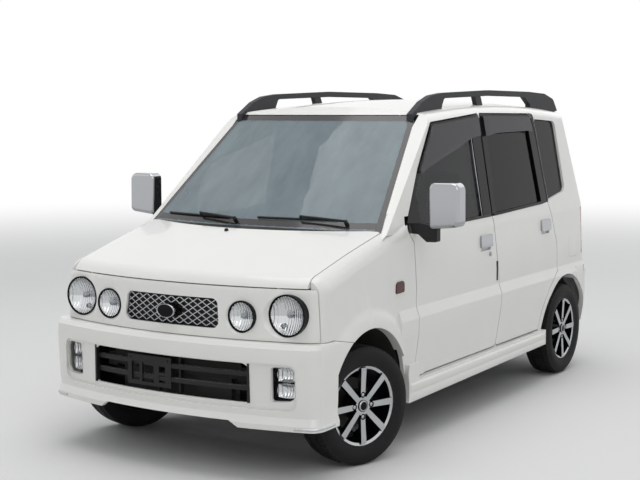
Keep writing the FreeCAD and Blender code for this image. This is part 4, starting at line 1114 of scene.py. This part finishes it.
def turnLampDish(z, halfHigh):
    # shallow bright bowl, oval from the front, turned a little outwards with the bumper
    v = turnLampValues
    rows = [(v["depth"] * (1 - (k / 8) ** 2), k / 8) for k in range(1, 9)]
    profile = [(v["depth"], 0)] + rows
    profile += [(d + v["back"], r) for d, r in reversed(profile)]
    dish = spinProfile(profile, (0, 0, 0), (0, 1, 0), 40)
    for vertex in dish.data.vertices:
        x, y, zz = vertex.co
        squareness = max(abs(x), abs(zz)) / max(math.hypot(x, zz), 1e-6)
        widen = 1.0 + v["widen"] * (1 / max(squareness, 0.707) - 1) / 0.414
        x, zz = x * widen * v["halfWide"], zz * widen * halfHigh
        y = min(y, v["depth"] + 0.002)
        vertex.co = (v["x"] + x, aft(v["faceY"]) + y + v["outward"] * x, z + zz)
    return dish


cups = joinPieces([turnLampDish(0.403, 0.032), turnLampDish(0.470, 0.031)])
finishPair(cups, "turnLampCups", "body", "bright_metal", reflector, 50)

# bright channel at the rear edge of each front window, where the glass runs
channelValues = {"y": 1.2385, "halfWide": 0.0045, "low": 1.026, "high": 1.516, "lean": 0.0139}
v = channelValues
ends = [(sideX(z), aft(v["y"] + (z - v["low"]) * v["lean"]), z) for z in (v["low"], v["high"])]
x, y, z = ends[0]
near, far = y - v["halfWide"], y + v["halfWide"]
channel = pullOutline([(x - 0.0145, near, z), (x - 0.004, near, z), (x - 0.004, far, z), (x - 0.0145, far, z)],
                      Vector(ends[1]) - Vector(ends[0]), 0.0012)
finishPair(channel, "windowChannel", "front_{}_door", "bright_metal")

tipRing = spinProfile([(-0.030, 0.0205), (-0.030, 0.0235), (0.0, 0.0245), (0.002, 0.0235), (0.002, 0.0190),
                       (-0.030, 0.0175)], (0.200, aft(2.748), 0.263), (0, 0.915, -0.404), 36)
finishPiece(tipRing, "exhaustTip", "body", "bright_metal")

y = aft(2.790)
plateLamps = joinPieces([softBox((x - 0.028, y - 0.012, 0.866), (x + 0.028, y + 0.002, 0.878), 0.003)
                         for x in (-0.09, 0.09)])
finishPiece(plateLamps, "plateLamps", "tailgate", "lamp_clear", whiteLens)
print("outside fitted")


stageValues = {
    "floorSize": 90.0,
    "floorColour": "#E2E2E0",
    "skyLevel": 0.70,
    "horizon": "#9DA1A4", "zenith": "#FAFCFF",
    "fadeStart": 5.0,       # metres from the car where the floor begins to pale
    "fadeEnd": 16.0,
}


def seenDirectly(tree):
    # one for what the camera sees straight on, in a mirror or through glass
    path = addNode(tree, "LightPath").outputs
    seen = path["Is Camera Ray"]
    for ray in ("Is Glossy Ray", "Is Transmission Ray"):
        either = addNode(tree, "Math", settings={"operation": "MAXIMUM"}, links={0: seen, 1: path[ray]})
        seen = either.outputs[0]
    return seen


def addStage(values):
    startPiece()
    bpy.ops.mesh.primitive_plane_add(size=values["floorSize"], location=(0, 0, 0))
    floor = bpy.context.active_object
    floor.name = "studioFloor"
    # matt painted floor, which fades into the white of the backdrop
    material = mottled("paintedFloor", values["floorColour"], "#E4E4E2", (2.0, 2.0), Roughness=0.9,
                       Specular_IOR_Level=0.1)
    tree, shader, place = reopen(material)
    reach = addNode(tree, "VectorMath", settings={"operation": "LENGTH"}, links={"Vector": place})
    far = addNode(tree, "MapRange", settings={"interpolation_type": "SMOOTHSTEP"},
                  values={"From Min": values["fadeStart"], "From Max": values["fadeEnd"]},
                  links={"Value": reach.outputs["Value"]})
    fade = addNode(tree, "Math", settings={"operation": "MULTIPLY"},
                   links={0: far.outputs["Result"], 1: seenDirectly(tree)})
    pale = addNode(tree, "Emission", values={"Color": (1, 1, 1, 1), "Strength": 1.0})
    both = addNode(tree, "MixShader",
                   links={0: fade.outputs[0], 1: shader.outputs["BSDF"], 2: pale.outputs["Emission"]})
    tree.links.new(both.outputs[0], tree.nodes["Material Output"].inputs["Surface"])
    floor.data.materials.append(material)

    world = bpy.data.worlds.new("studioWorld")
    scene.world = world
    world.use_nodes = True
    tree = world.node_tree
    tree.nodes.clear()
    coordinate = addNode(tree, "TexCoord")
    split = addNode(tree, "SeparateXYZ", links={"Vector": coordinate.outputs["Generated"]})
    height = addNode(tree, "MapRange", values={"From Min": -0.1, "From Max": 0.9},
                     links={"Value": split.outputs["Z"]})
    shade = addNode(tree, "Mix", settings={"data_type": "RGBA"},
                    values={6: toLinear(values["horizon"]), 7: toLinear(values["zenith"])},
                    links={"Factor": height.outputs["Result"]})
    sky = addNode(tree, "Background", values={"Strength": values["skyLevel"]},
                  links={"Color": shade.outputs[2]})
    white = addNode(tree, "Background", values={"Color": (1, 1, 1, 1), "Strength": 1.0})
    mix = addNode(tree, "MixShader",
                  links={0: seenDirectly(tree), 1: sky.outputs[0], 2: white.outputs[0]})
    addNode(tree, "OutputWorld", links={"Surface": mix.outputs[0]})


lampRows = [
    # name, place, aimed at, size, watts
    ("topLamp", (0.4, -1.2, 9.0), (0.0, -0.4, 0.8), 7.0, 285.0),
    ("keyLamp", (5.5, -5.5, 5.0), (0.0, -0.3, 0.6), 3.5, 55.0),
    ("fillLamp", (-6.5, -4.0, 4.0), (0.0, 0.0, 0.6), 5.0, 24.0),
    ("backLamp", (1.0, 7.0, 5.5), (0.0, 0.5, 0.8), 5.0, 48.0),
]


def addLamps(rows):
    for name, place, target, size, watts in rows:
        data = bpy.data.lights.new(name, "AREA")
        data.shape = "SQUARE"
        data.size = size
        data.energy = watts
        lamp = bpy.data.objects.new(name, data)
        scene.collection.objects.link(lamp)
        lamp.location = place
        lamp.rotation_euler = (Vector(target) - Vector(place)).to_track_quat("-Z", "Y").to_euler()


addStage(stageValues)
addLamps(lampRows)
scene.view_settings.view_transform = "Standard"
print("stage set")
